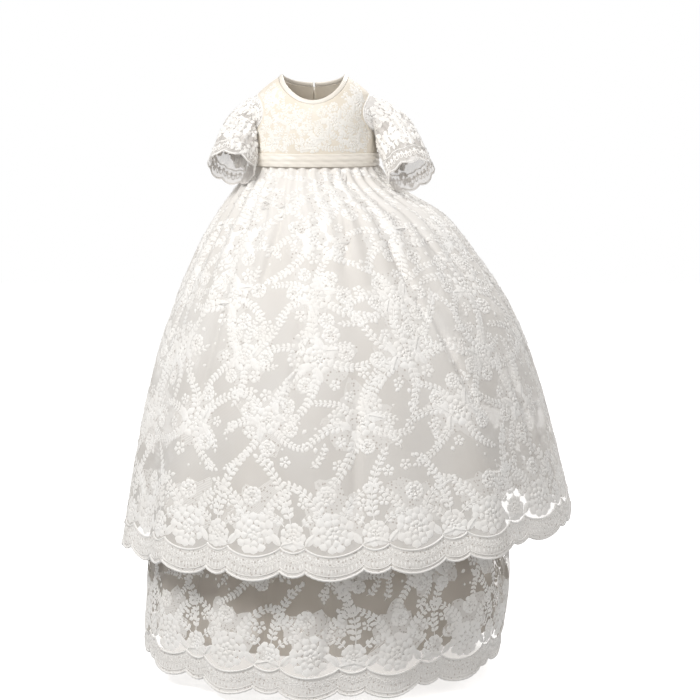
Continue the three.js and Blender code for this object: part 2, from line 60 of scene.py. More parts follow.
BODICE_SECTIONS = section_table(("z", "centre", "half_width", "front", "back"), [
    (0, 0, 50, 36, 37),
    (-10, 0, 64, 43, 42),
    (-25, 0, 80, 53, 50),
    (-50, 0, 87, 69, 64),
    (-80, 0, 89, 77, 70),
    (-105, 0, 91, 79, 72),
    (-130, 0, 92, 78, 72),
])
SKIRT_COLUMNS = ("z", "centre", "half_width", "front", "back", "gather")
OVERSKIRT_SECTIONS = section_table(SKIRT_COLUMNS, [
    (-126.4, 1, 92, 78, 73, 2.2),
    (-145, 3, 103, 93, 87, 3.0),
    (-165, 9, 124, 117, 109, 3.4),
    (-195, 23, 160, 146, 138, 3.0),
    (-250, 30, 199, 181, 173, 2.0),
    (-330, 39, 242, 219, 211, 0.8),
    (-430, 43, 277, 250, 243, 0),
    (-530, 46, 300, 272, 266, 0),
    (-625, 49, 317, 290, 284, 0),
    (-652, 50, 322, 296, 290, 0),
])
FLOUNCE_SECTIONS = section_table(SKIRT_COLUMNS, [
    (-560, 20, 232, 212, 206, 1.8),
    (-610, 21, 249, 228, 221, 1.2),
    (-680, 21, 262, 239, 232, 0),
    (-750, 20, 264, 242, 235, 0),
    (-808, 15, 261, 242, 235, 0),
    (-833, 13, 259, 241, 234, 0),
])
LINING_SECTIONS = section_table(SKIRT_COLUMNS, [
    (-127, 1, 87, 73, 69, 0),
    (-165, 3, 97, 84, 79, 0),
    (-260, 8, 130, 114, 109, 0),
    (-400, 14, 178, 159, 153, 0),
    (-560, 20, 227, 207, 201, 0),
    (-680, 21, 241, 219, 213, 0),
    (-790, 18, 244, 224, 218, 0),
])

# Long folds: direction, half width in degrees, height at the hem
FOLD_COLUMNS = ("at", "width", "height")
OVERSKIRT_FOLDS = section_table(FOLD_COLUMNS, [
    (12, 9, 9), (37, 8, 12), (63, 10, 10), (92, 8, 13), (118, 10, 9), (143, 8, 12), (168, 9, 8),
    (194, 8, 10), (219, 7, 14), (241, 8, 9), (262, 7, 11), (283, 9, 8), (306, 8, 12), (333, 9, 9),
])
FLOUNCE_FOLDS = section_table(FOLD_COLUMNS, [
    (20, 10, 9), (55, 11, 11), (95, 10, 9), (130, 12, 11), (170, 10, 7),
    (212, 9, 9), (240, 8, 12), (262, 8, 10), (290, 10, 9), (322, 9, 11),
])
NO_FOLDS = section_table(FOLD_COLUMNS, [(0, 10, 0)])
FOLD_GROWTH = 1.3
WALL_STOPS = 300

# Creases: where each starts and ends, its half width in degrees, and its depth (a ridge is negative)
CREASE_COLUMNS = ("from_at", "from_z", "to_at", "to_z", "width", "depth")
OVERSKIRT_CREASES = section_table(CREASE_COLUMNS, [
    (281, -150, 274, -262, 1.7, 5.0),
    (293, -190, 300, -352, 1.5, 5.5),
    (300, -300, 309, -455, 1.6, 5.0),
    (258, -300, 254, -470, 1.8, 4.5),
    (312, -165, 322, -300, 1.6, 4.0),
    (246, -180, 240, -330, 1.7, 4.5),
    (228, -260, 224, -480, 1.9, 5.0),
    (274, -380, 272, -600, 1.8, 4.0),
    (327, -380, 331, -590, 2.0, 4.5),
    (205, -200, 198, -420, 1.8, 4.5),
    (347, -230, 352, -470, 1.9, 5.0),
    (25, -180, 28, -420, 1.8, 5.0),
    (52, -300, 50, -560, 2.0, 4.0),
    (78, -170, 82, -380, 1.7, 5.0),
    (106, -260, 104, -520, 1.9, 4.5),
    (131, -180, 134, -400, 1.8, 4.0),
    (157, -280, 155, -540, 1.9, 5.0),
])
FLOUNCE_CREASES = section_table(CREASE_COLUMNS, [
    (251, -590, 251, -800, 2.0, 5.5),
    (272, -600, 270, -810, 1.8, 4.5),
    (227, -610, 225, -790, 2.0, 4.5),
    (303, -620, 306, -800, 2.0, 4.5),
    (337, -600, 340, -790, 2.2, 4.5),
    (193, -610, 190, -790, 2.2, 4.0),
    (38, -600, 37, -800, 2.2, 4.5),
    (76, -620, 78, -790, 2.0, 4.5),
    (113, -600, 112, -800, 2.2, 4.0),
    (150, -610, 152, -790, 2.0, 4.5),
])
LINING_CREASES = section_table(CREASE_COLUMNS, [
    (d, -140 - 25 * (i % 4), d + 4 - 8 * (i % 2), -640 - 35 * (i % 3), 3.5, 3.5)
    for i, d in enumerate(range(5, 360, 15))
])

# Hem scallops: a wide one and a narrow one in each repeat
WIDE_SHARE = 0.68
WIDE_DEPTH = 13
NARROW_DEPTH = 7
SCALLOP_ROUNDNESS = 0.7

# Bodice cut
WAIST_Z = -126
UNDERARM_Z = -80
SHOULDER_TIP_Z = -25
ARMHOLE_REACH = 36
ARMHOLE_MIDDLE = (UNDERARM_Z + SHOULDER_TIP_Z) / 2
ARMHOLE_HALF_HEIGHT = (SHOULDER_TIP_Z - UNDERARM_Z) / 2
NECK_DROP_FRONT = 38
NECK_DROP_BACK = 14
NECK_ROUNDNESS = 1.3
BINDING_HEIGHT = 7
BINDING_THICKNESS = 2.6
BINDING_SIDES = 14
BACK_OPENING_HALF = 1.5
PLACKET_HALF_WIDTH = 6
PLACKET_TOP_Z = -20
PLACKET_BOTTOM_Z = -104
PLACKET_LIFT = 1.0
PLACKET_WALL = 0.9
BUTTON_HEIGHTS = (-34, -62, -90)
BUTTON_RADIUS = 5
BUTTON_THICKNESS = 3
BUTTON_LIFT = 1.3
SASH_TOP_Z = -107
SASH_BOTTOM_Z = -125.6
LAID_ON_LIFT = 0.7
LACE_MARGIN = 2
NECK_MARGIN = 2.5

# Sleeves: side of the body, how far out the sleeve turns down, and the middle of the cuff
SLEEVES = {
    "sleeve_left": {"side": 1, "reach": 26, "cuff": (138, -64, -136)},
    "sleeve_right": {"side": -1, "reach": 10, "cuff": (-115, -62, -126)},
}
SLEEVE_DROP = 10
UNDERARM_CLEARANCE = 5
SLEEVE_RADIUS = 28
CUFF_RADIUS = 33
CUFF_TILT = 39
CUFF_SCALLOPS = 8
CUFF_SCALLOP_DEPTH = 5
SLEEVE_LENGTH = 95
SLEEVE_PUFF = 1.3
SLEEVE_GATHERS = 18


def smoothstep(x, low, high):
    t = np.clip((x - low) / (high - low), 0, 1)
    return t * t * (3 - 2 * t)


def section_at(table, column, z):
    """Smooth value of one column at heights z, through all the table's rows."""
    heights = table["z"]
    values = table[column]
    rows = np.arange(len(heights))
    above = np.maximum(rows - 1, 0)
    below = np.minimum(rows + 1, len(rows) - 1)
    slopes = (values[below] - values[above]) / (heights[above] - heights[below])
    low = np.clip(np.searchsorted(-heights, -np.asarray(z, float)), 1, len(rows) - 1)
    span = heights[low - 1] - heights[low]
    t = np.clip((heights[low - 1] - z) / span, 0, 1)
    rise = t * t * (3 - 2 * t)
    leaving = span * slopes[low - 1] * t * (1 - t) ** 2
    arriving = span * slopes[low] * t * t * (t - 1)
    return values[low - 1] + (values[low] - values[low - 1]) * rise + leaving + arriving


def section_depth(table, in_front, z):
    """Depth of a section before or behind its middle, at heights z."""
    return np.where(in_front, section_at(table, "front", z), section_at(table, "back", z))


def section_point(table, direction, z):
    """Points of a section table at directions and heights."""
    angle = np.radians(direction)
    depth = section_depth(table, np.sin(angle) < 0, z)
    x = section_at(table, "centre", z) + section_at(table, "half_width", z) * np.cos(angle)
    return np.stack([x, depth * np.sin(angle), z + 0 * x], axis=-1)


def section_radius(table, direction, z):
    """Length of wall in one radian round a section, at directions and heights."""
    angle = np.radians(direction)
    depth = section_depth(table, np.sin(angle) < 0, z)
    return np.hypot(section_at(table, "half_width", z) * np.sin(angle), depth * np.cos(angle))


def turn_from(start, direction):
    """Degrees from one direction to another, the short way round."""
    return (direction - start + 1.5 * FULL_TURN) % FULL_TURN - FULL_TURN / 2


def unit(vectors):
    return vectors / np.maximum(np.linalg.norm(vectors, axis=-1, keepdims=True), 1e-9)


# Cloths: each gives points from two coordinates of its own, and spreads a flat pattern over itself

class Skirt:
    """A tier of the skirt, in direction and height above the hem measured along the wall."""

    step = (0.05, 0.3)
    sense = 1

    def __init__(self, sections, folds, creases, repeats, gathers, hem_tilt, side_rise):
        self.sections = sections
        self.folds = folds
        self.creases = creases
        self.repeats = repeats
        self.gathers = gathers
        self.hem_tilt = hem_tilt
        self.side_rise = side_rise
        self.top = sections["z"][0]
        self.hem = sections["z"][-1]
        self.wall_z = np.linspace(self.hem, self.top, WALL_STOPS)
        wall = section_point(sections, np.full(WALL_STOPS, CENTRE_FRONT), self.wall_z)
        steps = np.linalg.norm(np.diff(wall, axis=0), axis=1)
        self.wall_height = np.concatenate(([0.0], np.cumsum(steps)))

    def fold(self, direction):
        total = np.zeros_like(direction, dtype=float)
        for at, width, height in zip(*(self.folds[c] for c in FOLD_COLUMNS)):
            offset = turn_from(at, direction)
            total = total + height * np.exp(-(offset / width) ** 2)
        return total

    def crease(self, direction, z):
        total = np.zeros_like(direction, dtype=float)
        for row in zip(*(self.creases[c] for c in CREASE_COLUMNS)):
            from_at, from_z, to_at, to_z, width, depth = row
            along = np.clip((from_z - z) / (from_z - to_z), 0, 1)
            middle = from_at + (to_at - from_at) * along
            offset = turn_from(middle, direction)
            share = (offset / width) ** 2
            total = total - depth * np.sin(np.pi * along) ** 0.7 * (1 - 0.6 * share) * np.exp(-share)
        return total

    def scallop(self, direction):
        place = (direction / FULL_TURN * self.repeats) % 1
        wide = np.sin(np.pi * np.clip(place / WIDE_SHARE, 0, 1))
        narrow = np.sin(np.pi * np.clip((place - WIDE_SHARE) / (1 - WIDE_SHARE), 0, 1))
        depths = (WIDE_DEPTH * np.maximum(wide, 0) ** SCALLOP_ROUNDNESS,
                  NARROW_DEPTH * np.maximum(narrow, 0) ** SCALLOP_ROUNDNESS)
        return np.where(place < WIDE_SHARE, *depths) * (self.repeats > 0)

    def point_at_z(self, direction, z):
        down = np.maximum(0.0, (self.top - z) / (self.top - self.hem))
        angle = np.radians(direction)
        points = section_point(self.sections, direction, z)
        swell = section_at(self.sections, "gather", z) * np.cos(self.gathers * angle)
        swell = swell + self.fold(direction) * down ** FOLD_GROWTH + self.crease(direction, z)
        across = np.cos(angle)
        points[..., 0] += swell * across
        points[..., 1] += swell * np.sin(angle)
        points[..., 2] += (self.hem_tilt * across + self.side_rise * across ** 2) * down ** 2
        return points

    def z_at(self, height):
        return np.interp(height, self.wall_height, self.wall_z) + np.minimum(height, 0.0)

    def point(self, direction, height):
        return self.point_at_z(direction, self.z_at(height))

    def spread(self, direction, height, x, y):
        heights = height + y
        radius = section_radius(self.sections, direction, self.z_at(heights))
        return direction + np.degrees(x / radius), heights

    def inside(self, direction, height):
        return (height > -self.scallop(direction)) & (height < self.wall_height[-1])


class Bodice:
    """The bodice, in direction and height above the shoulder seams."""

    step = (0.2, 0.3)
    sense = 1

    def point(self, direction, z):
        return section_point(BODICE_SECTIONS, direction, z)

    def spread(self, direction, z, x, y):
        radius = section_radius(BODICE_SECTIONS, direction, z + y)
        return direction + np.degrees(x / radius), z + y

    def inside(self, direction, z):
        direction = direction % FULL_TURN
        neck = np.interp(direction, NECK_DIRECTIONS, NECK_HEIGHTS)
        from_side = np.minimum(np.abs(direction - RIGHT_SIDE), np.minimum(direction, FULL_TURN - direction))
        across = from_side / (ARMHOLE_REACH + LACE_MARGIN)
        upright = (z - ARMHOLE_MIDDLE) / (ARMHOLE_HALF_HEIGHT + LACE_MARGIN)
        return (z < neck - NECK_MARGIN) & (across ** 2 + upright ** 2 > 1) & (z > SASH_TOP_Z)


class Sleeve:
    """A sleeve, in swing round it (radians from the shoulder tip over the front) and share of its length."""

    step = (0.01, -0.004)

    def __init__(self, side, reach, cuff):
        self.side = side
        self.reach = reach
        self.cuff = np.array(cuff, float)
        self.sense = -side

    def point(self, swing, along):
        side = self.side
        side_seam = FULL_TURN if side > 0 else RIGHT_SIDE
        inset = 1 - SEAM_GAP / ARMHOLE_HALF_HEIGHT
        away = ARMHOLE_REACH * inset * np.sin(swing)
        armhole_z = ARMHOLE_MIDDLE + ARMHOLE_HALF_HEIGHT * inset * np.cos(swing)
        armhole = section_point(BODICE_SECTIONS, side_seam - side * away, armhole_z)
        root = section_point(BODICE_SECTIONS, np.array(side_seam), np.array(ARMHOLE_MIDDLE))
        turn = root + np.array((side * self.reach, 0, -SLEEVE_DROP))
        t = np.asarray(along, float)[..., None]
        ring = root * (1 - t) ** 2 + turn * 2 * t * (1 - t) + self.cuff * t * t
        tangent = unit((turn - root) * (1 - t) + (self.cuff - turn) * t)
        tilt = np.radians(90 + (CUFF_TILT - 90) * along)
        outward = np.stack([side * np.cos(tilt), 0 * tilt, np.sin(tilt)], axis=-1)
        outward = unit(outward - tangent * np.sum(outward * tangent, axis=-1, keepdims=True))
        forward = np.cross(tangent, outward) * side
        radius = SLEEVE_RADIUS + (CUFF_RADIUS - SLEEVE_RADIUS) * along ** 2
        puff = SLEEVE_PUFF * np.cos(SLEEVE_GATHERS * swing) * np.sin(np.pi * np.clip(along, 0, 1)) ** 0.5
        ring = ring + outward * ((radius + puff) * np.cos(swing))[..., None]
        ring = ring + forward * ((radius + puff) * np.sin(swing))[..., None]
        scallop = CUFF_SCALLOP_DEPTH * np.abs(np.sin(CUFF_SCALLOPS * swing / 2)) * smoothstep(along, 0.75, 1)
        ring = ring + tangent * scallop[..., None]
        points = armhole + (ring - armhole) * smoothstep(along, 0, 0.5)[..., None]
        y, z = points[..., 1], points[..., 2]
        depth = section_depth(BODICE_SECTIONS, y < 0, z)
        round_share = np.sqrt(1 - np.minimum(np.abs(y / depth), 1) ** 2)
        nearest = section_at(BODICE_SECTIONS, "half_width", z) * round_share
        nearest = nearest + UNDERARM_CLEARANCE * smoothstep(along, 0, 0.25)
        points[..., 0] = side * np.maximum(side * points[..., 0], nearest)
        return points

    def spread(self, swing, along, x, y):
        return swing + x / SLEEVE_RADIUS, along - y / SLEEVE_LENGTH

    def inside(self, swing, along):
        return (along > 0.04) & (along < 1.0)


def surface(cloth, a, b):
    """Points and outward normals of a cloth."""
    here = cloth.point(a, b)
    step_a, step_b = cloth.step
    along_a = cloth.point(a + step_a, b) - here
    along_b = cloth.point(a, b + step_b) - here
    return here, unit(np.cross(along_a, along_b))


def neckline(share, front):
    """Direction and height on the neckline, from the left shoulder (0) to the right one (1)."""
    swing = np.pi * share
    z = -(NECK_DROP_FRONT if front else NECK_DROP_BACK) * np.sin(swing) ** NECK_ROUNDNESS
    across = BODICE_SECTIONS["half_width"][0] * np.cos(swing) / section_at(BODICE_SECTIONS, "half_width", z)
    reach = np.degrees(np.arccos(np.clip(across, -1, 1)))
    return (FULL_TURN - reach if front else reach), z


NECK_SHARES = np.linspace(0, 1, 60)
NECK_DIRECTIONS = np.concatenate([neckline(NECK_SHARES, False)[0], neckline(NECK_SHARES, True)[0][::-1]])
NECK_HEIGHTS = np.concatenate([neckline(NECK_SHARES, False)[1], neckline(NECK_SHARES, True)[1][::-1]])

OVERSKIRT = Skirt(OVERSKIRT_SECTIONS, OVERSKIRT_FOLDS, OVERSKIRT_CREASES, repeats=18, gathers=36,
                  hem_tilt=21, side_rise=14)
FLOUNCE = Skirt(FLOUNCE_SECTIONS, FLOUNCE_FOLDS, FLOUNCE_CREASES, repeats=14, gathers=28, hem_tilt=0,
                side_rise=16)
LINING = Skirt(LINING_SECTIONS, NO_FOLDS, LINING_CREASES, repeats=0, gathers=0, hem_tilt=0, side_rise=0)
BODICE = Bodice()


# Meshes

def make_piece(name, points, faces, materials, kinds=None):
    """A smooth mesh from points in millimetres, riding on the gown's one body."""
    mesh = bpy.data.meshes.new(name)
    faces = faces if isinstance(faces, list) else faces.tolist()
    mesh.from_pydata((np.asarray(points) * MM).tolist(), [], faces)
    for material in materials:
        mesh.materials.append(material)
    if kinds is not None:
        mesh.polygons.foreach_set("material_index", np.asarray(kinds, np.int32))
    mesh.polygons.foreach_set("use_smooth", np.ones(len(mesh.polygons), bool))
    mesh.update()
    piece = bpy.data.objects.new(name, mesh)
    bpy.context.scene.collection.objects.link(piece)
    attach(piece, "root")
    return piece


def grid_faces(columns, rows, round_wall=False):
    """Quads of a grid stored row after row, facing out when columns run with the direction and rows go up."""
    cells = columns if round_wall else columns - 1
    column, row = np.meshgrid(np.arange(cells), np.arange(rows - 1))
    column, row = column.ravel(), row.ravel()
    right = (column + 1) % columns
    return np.stack([row * columns + column, row * columns + right,
                     (row + 1) * columns + right, (row + 1) * columns + column], axis=1)


def thicken(points, normals, faces, columns, rows, thickness, round_wall=False):
    """Closes a grid of outer points into a thin wall of the given thickness."""
    count = len(points)
    inner = points - normals * thickness
    walls = [faces, faces[:, ::-1] + count]
    cells = columns if round_wall else columns - 1
    across = np.arange(cells)
    right = (across + 1) % columns
    top = (rows - 1) * columns
    walls.append(np.stack([across + count, right + count, right, across], axis=1))
    walls.append(np.stack([across + top, right + top, right + top + count, across + top + count], axis=1))
    if not round_wall:
        up = np.arange(rows - 1) * columns
        end = up + columns - 1
        walls.append(np.stack([up, up + columns, up + columns + count, up + count], axis=1))
        walls.append(np.stack([end + count, end + columns + count, end + columns, end], axis=1))
    return np.concatenate([points, inner]), np.concatenate(walls)


# Lace motifs: flat shapes of points (across, up, height above the cloth) and triangles

EDGE_LIFT = 0.15


def pad(length, width, stations=3, rise=1.0, bulge=1.0):
    """A domed petal or leaf that points up from its base. A bulge over 1 is widest near the tip."""
    t = np.arange(1, stations + 1) / (stations + 1)
    half = width / 2 * np.sin(np.pi * t ** bulge) ** 0.75
    dome = rise * np.sin(np.pi * t) ** 0.5
    points = [(0, 0, EDGE_LIFT)]
    for share, side, top in zip(t, half, dome):
        up = share * length
        points += [(-side, up, EDGE_LIFT), (0, up, top), (side, up, EDGE_LIFT)]
    points.append((0, length, EDGE_LIFT))
    tip = len(points) - 1
    faces = [(0, 3, 2), (0, 2, 1), (tip - 1, tip, tip - 2), (tip - 2, tip, tip - 3)]
    for i in range(stations - 1):
        left, middle, right = 1 + 3 * i, 2 + 3 * i, 3 + 3 * i
        faces += [(right, right + 3, middle + 3), (right, middle + 3, middle)]
        faces += [(middle, middle + 3, left + 3), (middle, left + 3, left)]
    return np.array(points, float), np.array(faces)


def path_steps(path, closed):
    """For each stop of a path, the step from the stop before it to the one after it."""
    before = np.roll(path, 1, axis=0)
    after = np.roll(path, -1, axis=0)
    if not closed:
        before[0], after[-1] = path[0], path[-1]
    return after - before


def ribbon(path, width, rise, closed=False):
    """A raised thread along a flat path."""
    path = np.asarray(path, float)
    along = unit(path_steps(path, closed))
    side = np.stack([-along[:, 1], along[:, 0]], axis=1) * width / 2
    count = len(path)
    points = np.zeros((3 * count, 3))
    points[0::3, :2] = path + side
    points[1::3, :2] = path
    points[2::3, :2] = path - side
    points[:, 2] = EDGE_LIFT
    points[1::3, 2] = rise
    return points, thread_faces(count, closed)


def thread_faces(count, closed):
    """Triangles of a thread stored as left, top and right at each stop."""
    stops = np.arange(count if closed else count - 1)
    here = 3 * stops
    then = 3 * ((stops + 1) % count)
    faces = []
    for a, b in ((1, 0), (2, 1)):
        faces.append(np.stack([here + a, then + a, then + b], axis=1))
        faces.append(np.stack([here + a, then + b, here + b], axis=1))
    return np.concatenate(faces)


def disc(radius, sides=14, lift=0.3):
    """A round patch of close net under a flower."""
    angles = np.linspace(0, 2 * np.pi, sides, endpoint=False)
    rim = np.stack([radius * np.cos(angles), radius * np.sin(angles), np.full(sides, EDGE_LIFT)], axis=1)
    faces = [(i, (i + 1) % sides, sides) for i in range(sides)]
    return np.concatenate([rim, [(0, 0, lift)]]), np.array(faces)


THREAD = 0
NET = 1


class Motif:
    """Shapes joined into one design. Each shape has a number, so that one off the cloth is dropped."""

    def __init__(self):
        self.points = np.empty((0, 3))
        self.faces = np.empty((0, 3), int)
        self.owner = np.empty(0, int)
        self.kinds = np.empty(0, int)

    def add(self, shape, at=(0.0, 0.0), turn=0.0, size=1.0, kind=THREAD):
        """Adds a shape turned by degrees, the way a clock goes, and moved."""
        points, faces = shape
        angle = math.radians(-turn)
        x = points[:, 0] * size
        y = points[:, 1] * size
        moved = np.stack([x * math.cos(angle) - y * math.sin(angle) + at[0],
                          x * math.sin(angle) + y * math.cos(angle) + at[1], points[:, 2]], axis=1)
        number = self.owner[-1] + 1 if len(self.owner) else 0
        self.faces = np.concatenate([self.faces, faces + len(self.points)])
        self.points = np.concatenate([self.points, moved])
        self.owner = np.concatenate([self.owner, np.full(len(points), number)])
        self.kinds = np.concatenate([self.kinds, np.full(len(faces), kind)])
        return self


def polar(radius, turn):
    """A point at a distance from the middle, turned by degrees from straight up, the way a clock goes."""
    angle = math.radians(turn)
    return radius * math.sin(angle), radius * math.cos(angle)


def around(motif, shape, count, radius):
    """Puts a shape round a circle, each pointing out."""
    for i in range(count):
        turn = FULL_TURN * i / count
        motif.add(shape, polar(radius, turn), turn)


def circle(radius, count):
    angles = np.linspace(0, 2 * np.pi, count, endpoint=False)
    return np.stack([radius * np.cos(angles), radius * np.sin(angles)], axis=1)


def full_flower(radius, rings):
    """An uneven flower over close net. Each ring: petals, inner radius, length, width, rise."""
    flower = Motif()
    flower.add(disc(radius * 0.8, 16), kind=NET)
    for count, inner, length, width, rise in rings:
        start = rng.uniform(0, FULL_TURN)
        for i in range(count):
            turn = start + FULL_TURN * i / count + rng.uniform(-5, 5)
            size = radius * rng.uniform(0.88, 1.1)
            petal = pad(size * length, size * width, 4, rise, 1.6)
            flower.add(petal, polar(radius * inner, turn), turn)
    flower.add(disc(radius * 0.1, 6, 2.0))
    return flower


def net_patch(radius):
    """An uneven patch of close net behind a bouquet."""
    columns = 40
    angles = np.linspace(0, 2 * np.pi, columns, endpoint=False)
    lobes = sum(share * np.sin(waves * angles + rng.uniform(0, 6.28))
                for waves, share in ((3, 0.16), (5, 0.13), (9, 0.09), (14, 0.05)))
    rim = radius * (1 + lobes)
    points = [(0.0, 0.0, EDGE_LIFT)]
    for share in (0.25, 0.5, 0.75, 1.0):
        points += [(share * r * math.cos(t), share * r * math.sin(t), EDGE_LIFT) for r, t in zip(rim, angles)]
    faces = [(0, 1 + i, 1 + (i + 1) % columns) for i in range(columns)]
    for a, b, c, d in grid_faces(columns, 4, True) + 1:
        faces += [(a, d, c), (a, c, b)]
    return Motif().add((np.array(points), np.array(faces)), kind=NET)


def blossom(radius, petals=5):
    """A small open flower."""
    flower = Motif()
    around(flower, pad(radius * 0.8, radius * 0.72, 2, 1.1, 1.5), petals, radius * 0.22)
    flower.add(disc(radius * 0.24, 6, 1.5))
    return flower


def fern(length, bend, pairs, leaf, plump=0.60):
    """A curved sprig with pairs of round leaflets that get smaller towards its tip."""
    sprig = Motif()
    t = np.linspace(0, 1, 9)
    heading = np.radians(bend) * t
    step = length / 8
    x = np.concatenate(([0.0], np.cumsum(np.sin(heading[:-1]) * step)))
    y = np.concatenate(([0.0], np.cumsum(np.cos(heading[:-1]) * step)))
    sprig.add(ribbon(np.stack([x, y], axis=1), 1.5, 0.9))
    for i in range(pairs):
        share = (i + 0.8) / (pairs + 0.4)
        at = (np.interp(share, t, x), np.interp(share, t, y))
        for side in (-1, 1):
            long = leaf * (1.0 - 0.32 * share) * rng.uniform(0.9, 1.1)
            sprig.add(pad(long, long * plump, 2, 1.1, 1.2), at, bend * share + side * rng.uniform(40, 58))
    sprig.add(pad(leaf * 0.8, leaf * 0.5, 2, 1.1), (x[-1], y[-1]), bend)
    return sprig


def leaf_pair(length):
    """Two broad veined leaves that open from one point."""
    pair = Motif()
    for turn in (-58, 58):
        pair.add(pad(length, length * 0.46, 4, 1.3, 0.9), turn=turn)
        vein = ribbon([(0, length * 0.1), (0, length * 0.85)], 0.8, 1.9)
        pair.add(vein, turn=turn)
    return pair


def ring(radius):
    return Motif().add(ribbon(circle(radius, 8), 1.1, 0.9, True))


def single(shape):
    return Motif().add(shape)


PEONY_RADIUS = 28
ROSE_RADIUS = 21
PEONY_RINGS = ((12, 0.54, 0.47, 0.46, 1.2), (9, 0.30, 0.38, 0.40, 1.6), (6, 0.07, 0.30, 0.30, 2.0))
ROSE_RINGS = ((9, 0.49, 0.51, 0.58, 1.2), (7, 0.22, 0.40, 0.46, 1.6), (4, 0.04, 0.26, 0.34, 2.0))
PEONIES = [full_flower(PEONY_RADIUS, PEONY_RINGS) for _ in range(5)]
ROSES = [full_flower(ROSE_RADIUS, ROSE_RINGS) for _ in range(5)]
ROSEBUDS = [full_flower(13.5, ROSE_RINGS[:2]) for _ in range(4)]
PATCHES = [net_patch(46) for _ in range(6)]
BLOSSOM = blossom(9.5)
LONG_FERNS = [fern(94, 44, 12, 11.0) for _ in range(3)]
SHORT_FERNS = [fern(62, -52, 8, 10.5) for _ in range(3)]
TENDRILS = [fern(38, 60, 5, 9.0) for _ in range(3)]
LEAVES = leaf_pair(25)
EYELET = ring(2.1)
BAR = single(pad(8.5, 2.6, 2, 0.9))
DOT = single(disc(1.7, 6, 1.0))
DROP = single(pad(8.5, 6.0, 2, 1.4, 1.3))


class Lacework:
    """Lace laid on one cloth and gathered into a single mesh."""

    def __init__(self, cloth):
        self.cloth = cloth
        self.points = []
        self.faces = []
        self.kinds = []
        self.count = 0
        self.taken = []

    def keep(self, points, faces, kinds):
        self.points.append(points)
        self.faces.append(faces + self.count)
        self.kinds.append(kinds)
        self.count += len(points)

    def lay(self, motif, a, b, turn=0.0, size=1.0, flip=False, guard=0.0):
        """Lays a motif at a place on the cloth, turned by degrees. Shapes off the cloth are dropped."""
        angle = math.radians(-turn)
        x = motif.points[:, 0] * (-size if flip else size)
        y = motif.points[:, 1] * size
        along_a, along_b = self.cloth.spread(a, b, x * math.cos(angle) - y * math.sin(angle),
                                             x * math.sin(angle) + y * math.cos(angle))
        out = ~self.cloth.inside(along_a, along_b)
        dropped = np.zeros(motif.owner[-1] + 1, bool)
        np.logical_or.at(dropped, motif.owner, out)
        if guard:
            self.taken.append((a, b, guard))
        if dropped.all():
            return
        kept_points = ~dropped[motif.owner]
        kept_faces = kept_points[motif.faces[:, 0]]
        number = np.cumsum(kept_points) - 1
        points, normals = surface(self.cloth, along_a[kept_points], along_b[kept_points])
        lift = motif.points[kept_points, 2:] * max(min(size, 1.0), 0.6)
        faces = number[motif.faces[kept_faces]]
        if (self.cloth.sense < 0) != flip:
            faces = faces[:, ::-1]
        self.keep(points + normals * self.cloth.sense * lift, faces, motif.kinds[kept_faces])

    def cord(self, a, b, width, rise, closed=False):
        """A raised thread along a line on the cloth."""
        points, normals = surface(self.cloth, a, b)
        normals = normals * self.cloth.sense
        side = unit(np.cross(normals, path_steps(points, closed))) * width / 2
        stops = np.empty((3 * len(points), 3))
        stops[0::3] = points + side + normals * EDGE_LIFT
        stops[1::3] = points + normals * rise
        stops[2::3] = points - side + normals * EDGE_LIFT
        faces = thread_faces(len(points), closed)
        self.keep(stops, faces, np.full(len(faces), THREAD))

    def strip(self, a, low, high, rows, lift=0.25):
        """A band of close net between two lines on the cloth."""
        columns = len(a)
        share = np.linspace(0, 1, rows)[:, None]
        b = (low + (high - low) * share).ravel()
        points, normals = surface(self.cloth, np.tile(a, rows), b)
        quads = grid_faces(columns, rows)
        faces = np.concatenate([quads[:, [0, 1, 2]], quads[:, [0, 2, 3]]])
        if self.cloth.sense < 0:
            faces = faces[:, ::-1]
        self.keep(points + normals * self.cloth.sense * lift, faces, np.full(len(faces), NET))

    def is_free(self, a, b, radius):
        """True if nothing laid with a guard comes within a radius of a place."""
        for taken_a, taken_b, guard in self.taken:
            middle = self.cloth.z_at((b + taken_b) / 2)
            from_axis = float(section_radius(self.cloth.sections, a, middle))
            across = math.radians(turn_from(taken_a, a)) * from_axis
            if math.hypot(across, b - taken_b) < radius + guard:
                return False
        return True

    def piece(self, name, materials, slot):
        return make_piece(name, np.concatenate(self.points), np.concatenate(self.faces), materials,
                          np.concatenate(self.kinds))


# Lace designs

BAND_HEIGHT = 32
BORDER_STOPS = 50
PICOT = 1.3
PICOTS_IN_REPEAT = 16
BARS_IN_REPEAT = 21
# Cords of the border: width, then height above the cloth
EDGE_CORD = (3.2, 2.4)
FINE_CORD = (1.3, 1.2)
TOP_CORD = (3.0, 2.4)
# Heights above the edge, in the band
BAR_HEIGHT = 8
EYELET_HEIGHTS = (19, 22)
DROP_HEIGHT = 23
CUFF_STOPS = 96
CUFF_EYELETS = 32
FLOWER_GAP = 3.5


def lay_from(work, motif, a, b, far, heading, turn, size=1.0, flip=False, guard=0.0):
    """Lays a motif some way off from a place, in a direction given in degrees."""
    x, y = polar(far, heading)
    at = work.cloth.spread(a, b, np.array(x), np.array(y))
    work.lay(motif, float(at[0]), float(at[1]), turn, size, flip, guard)


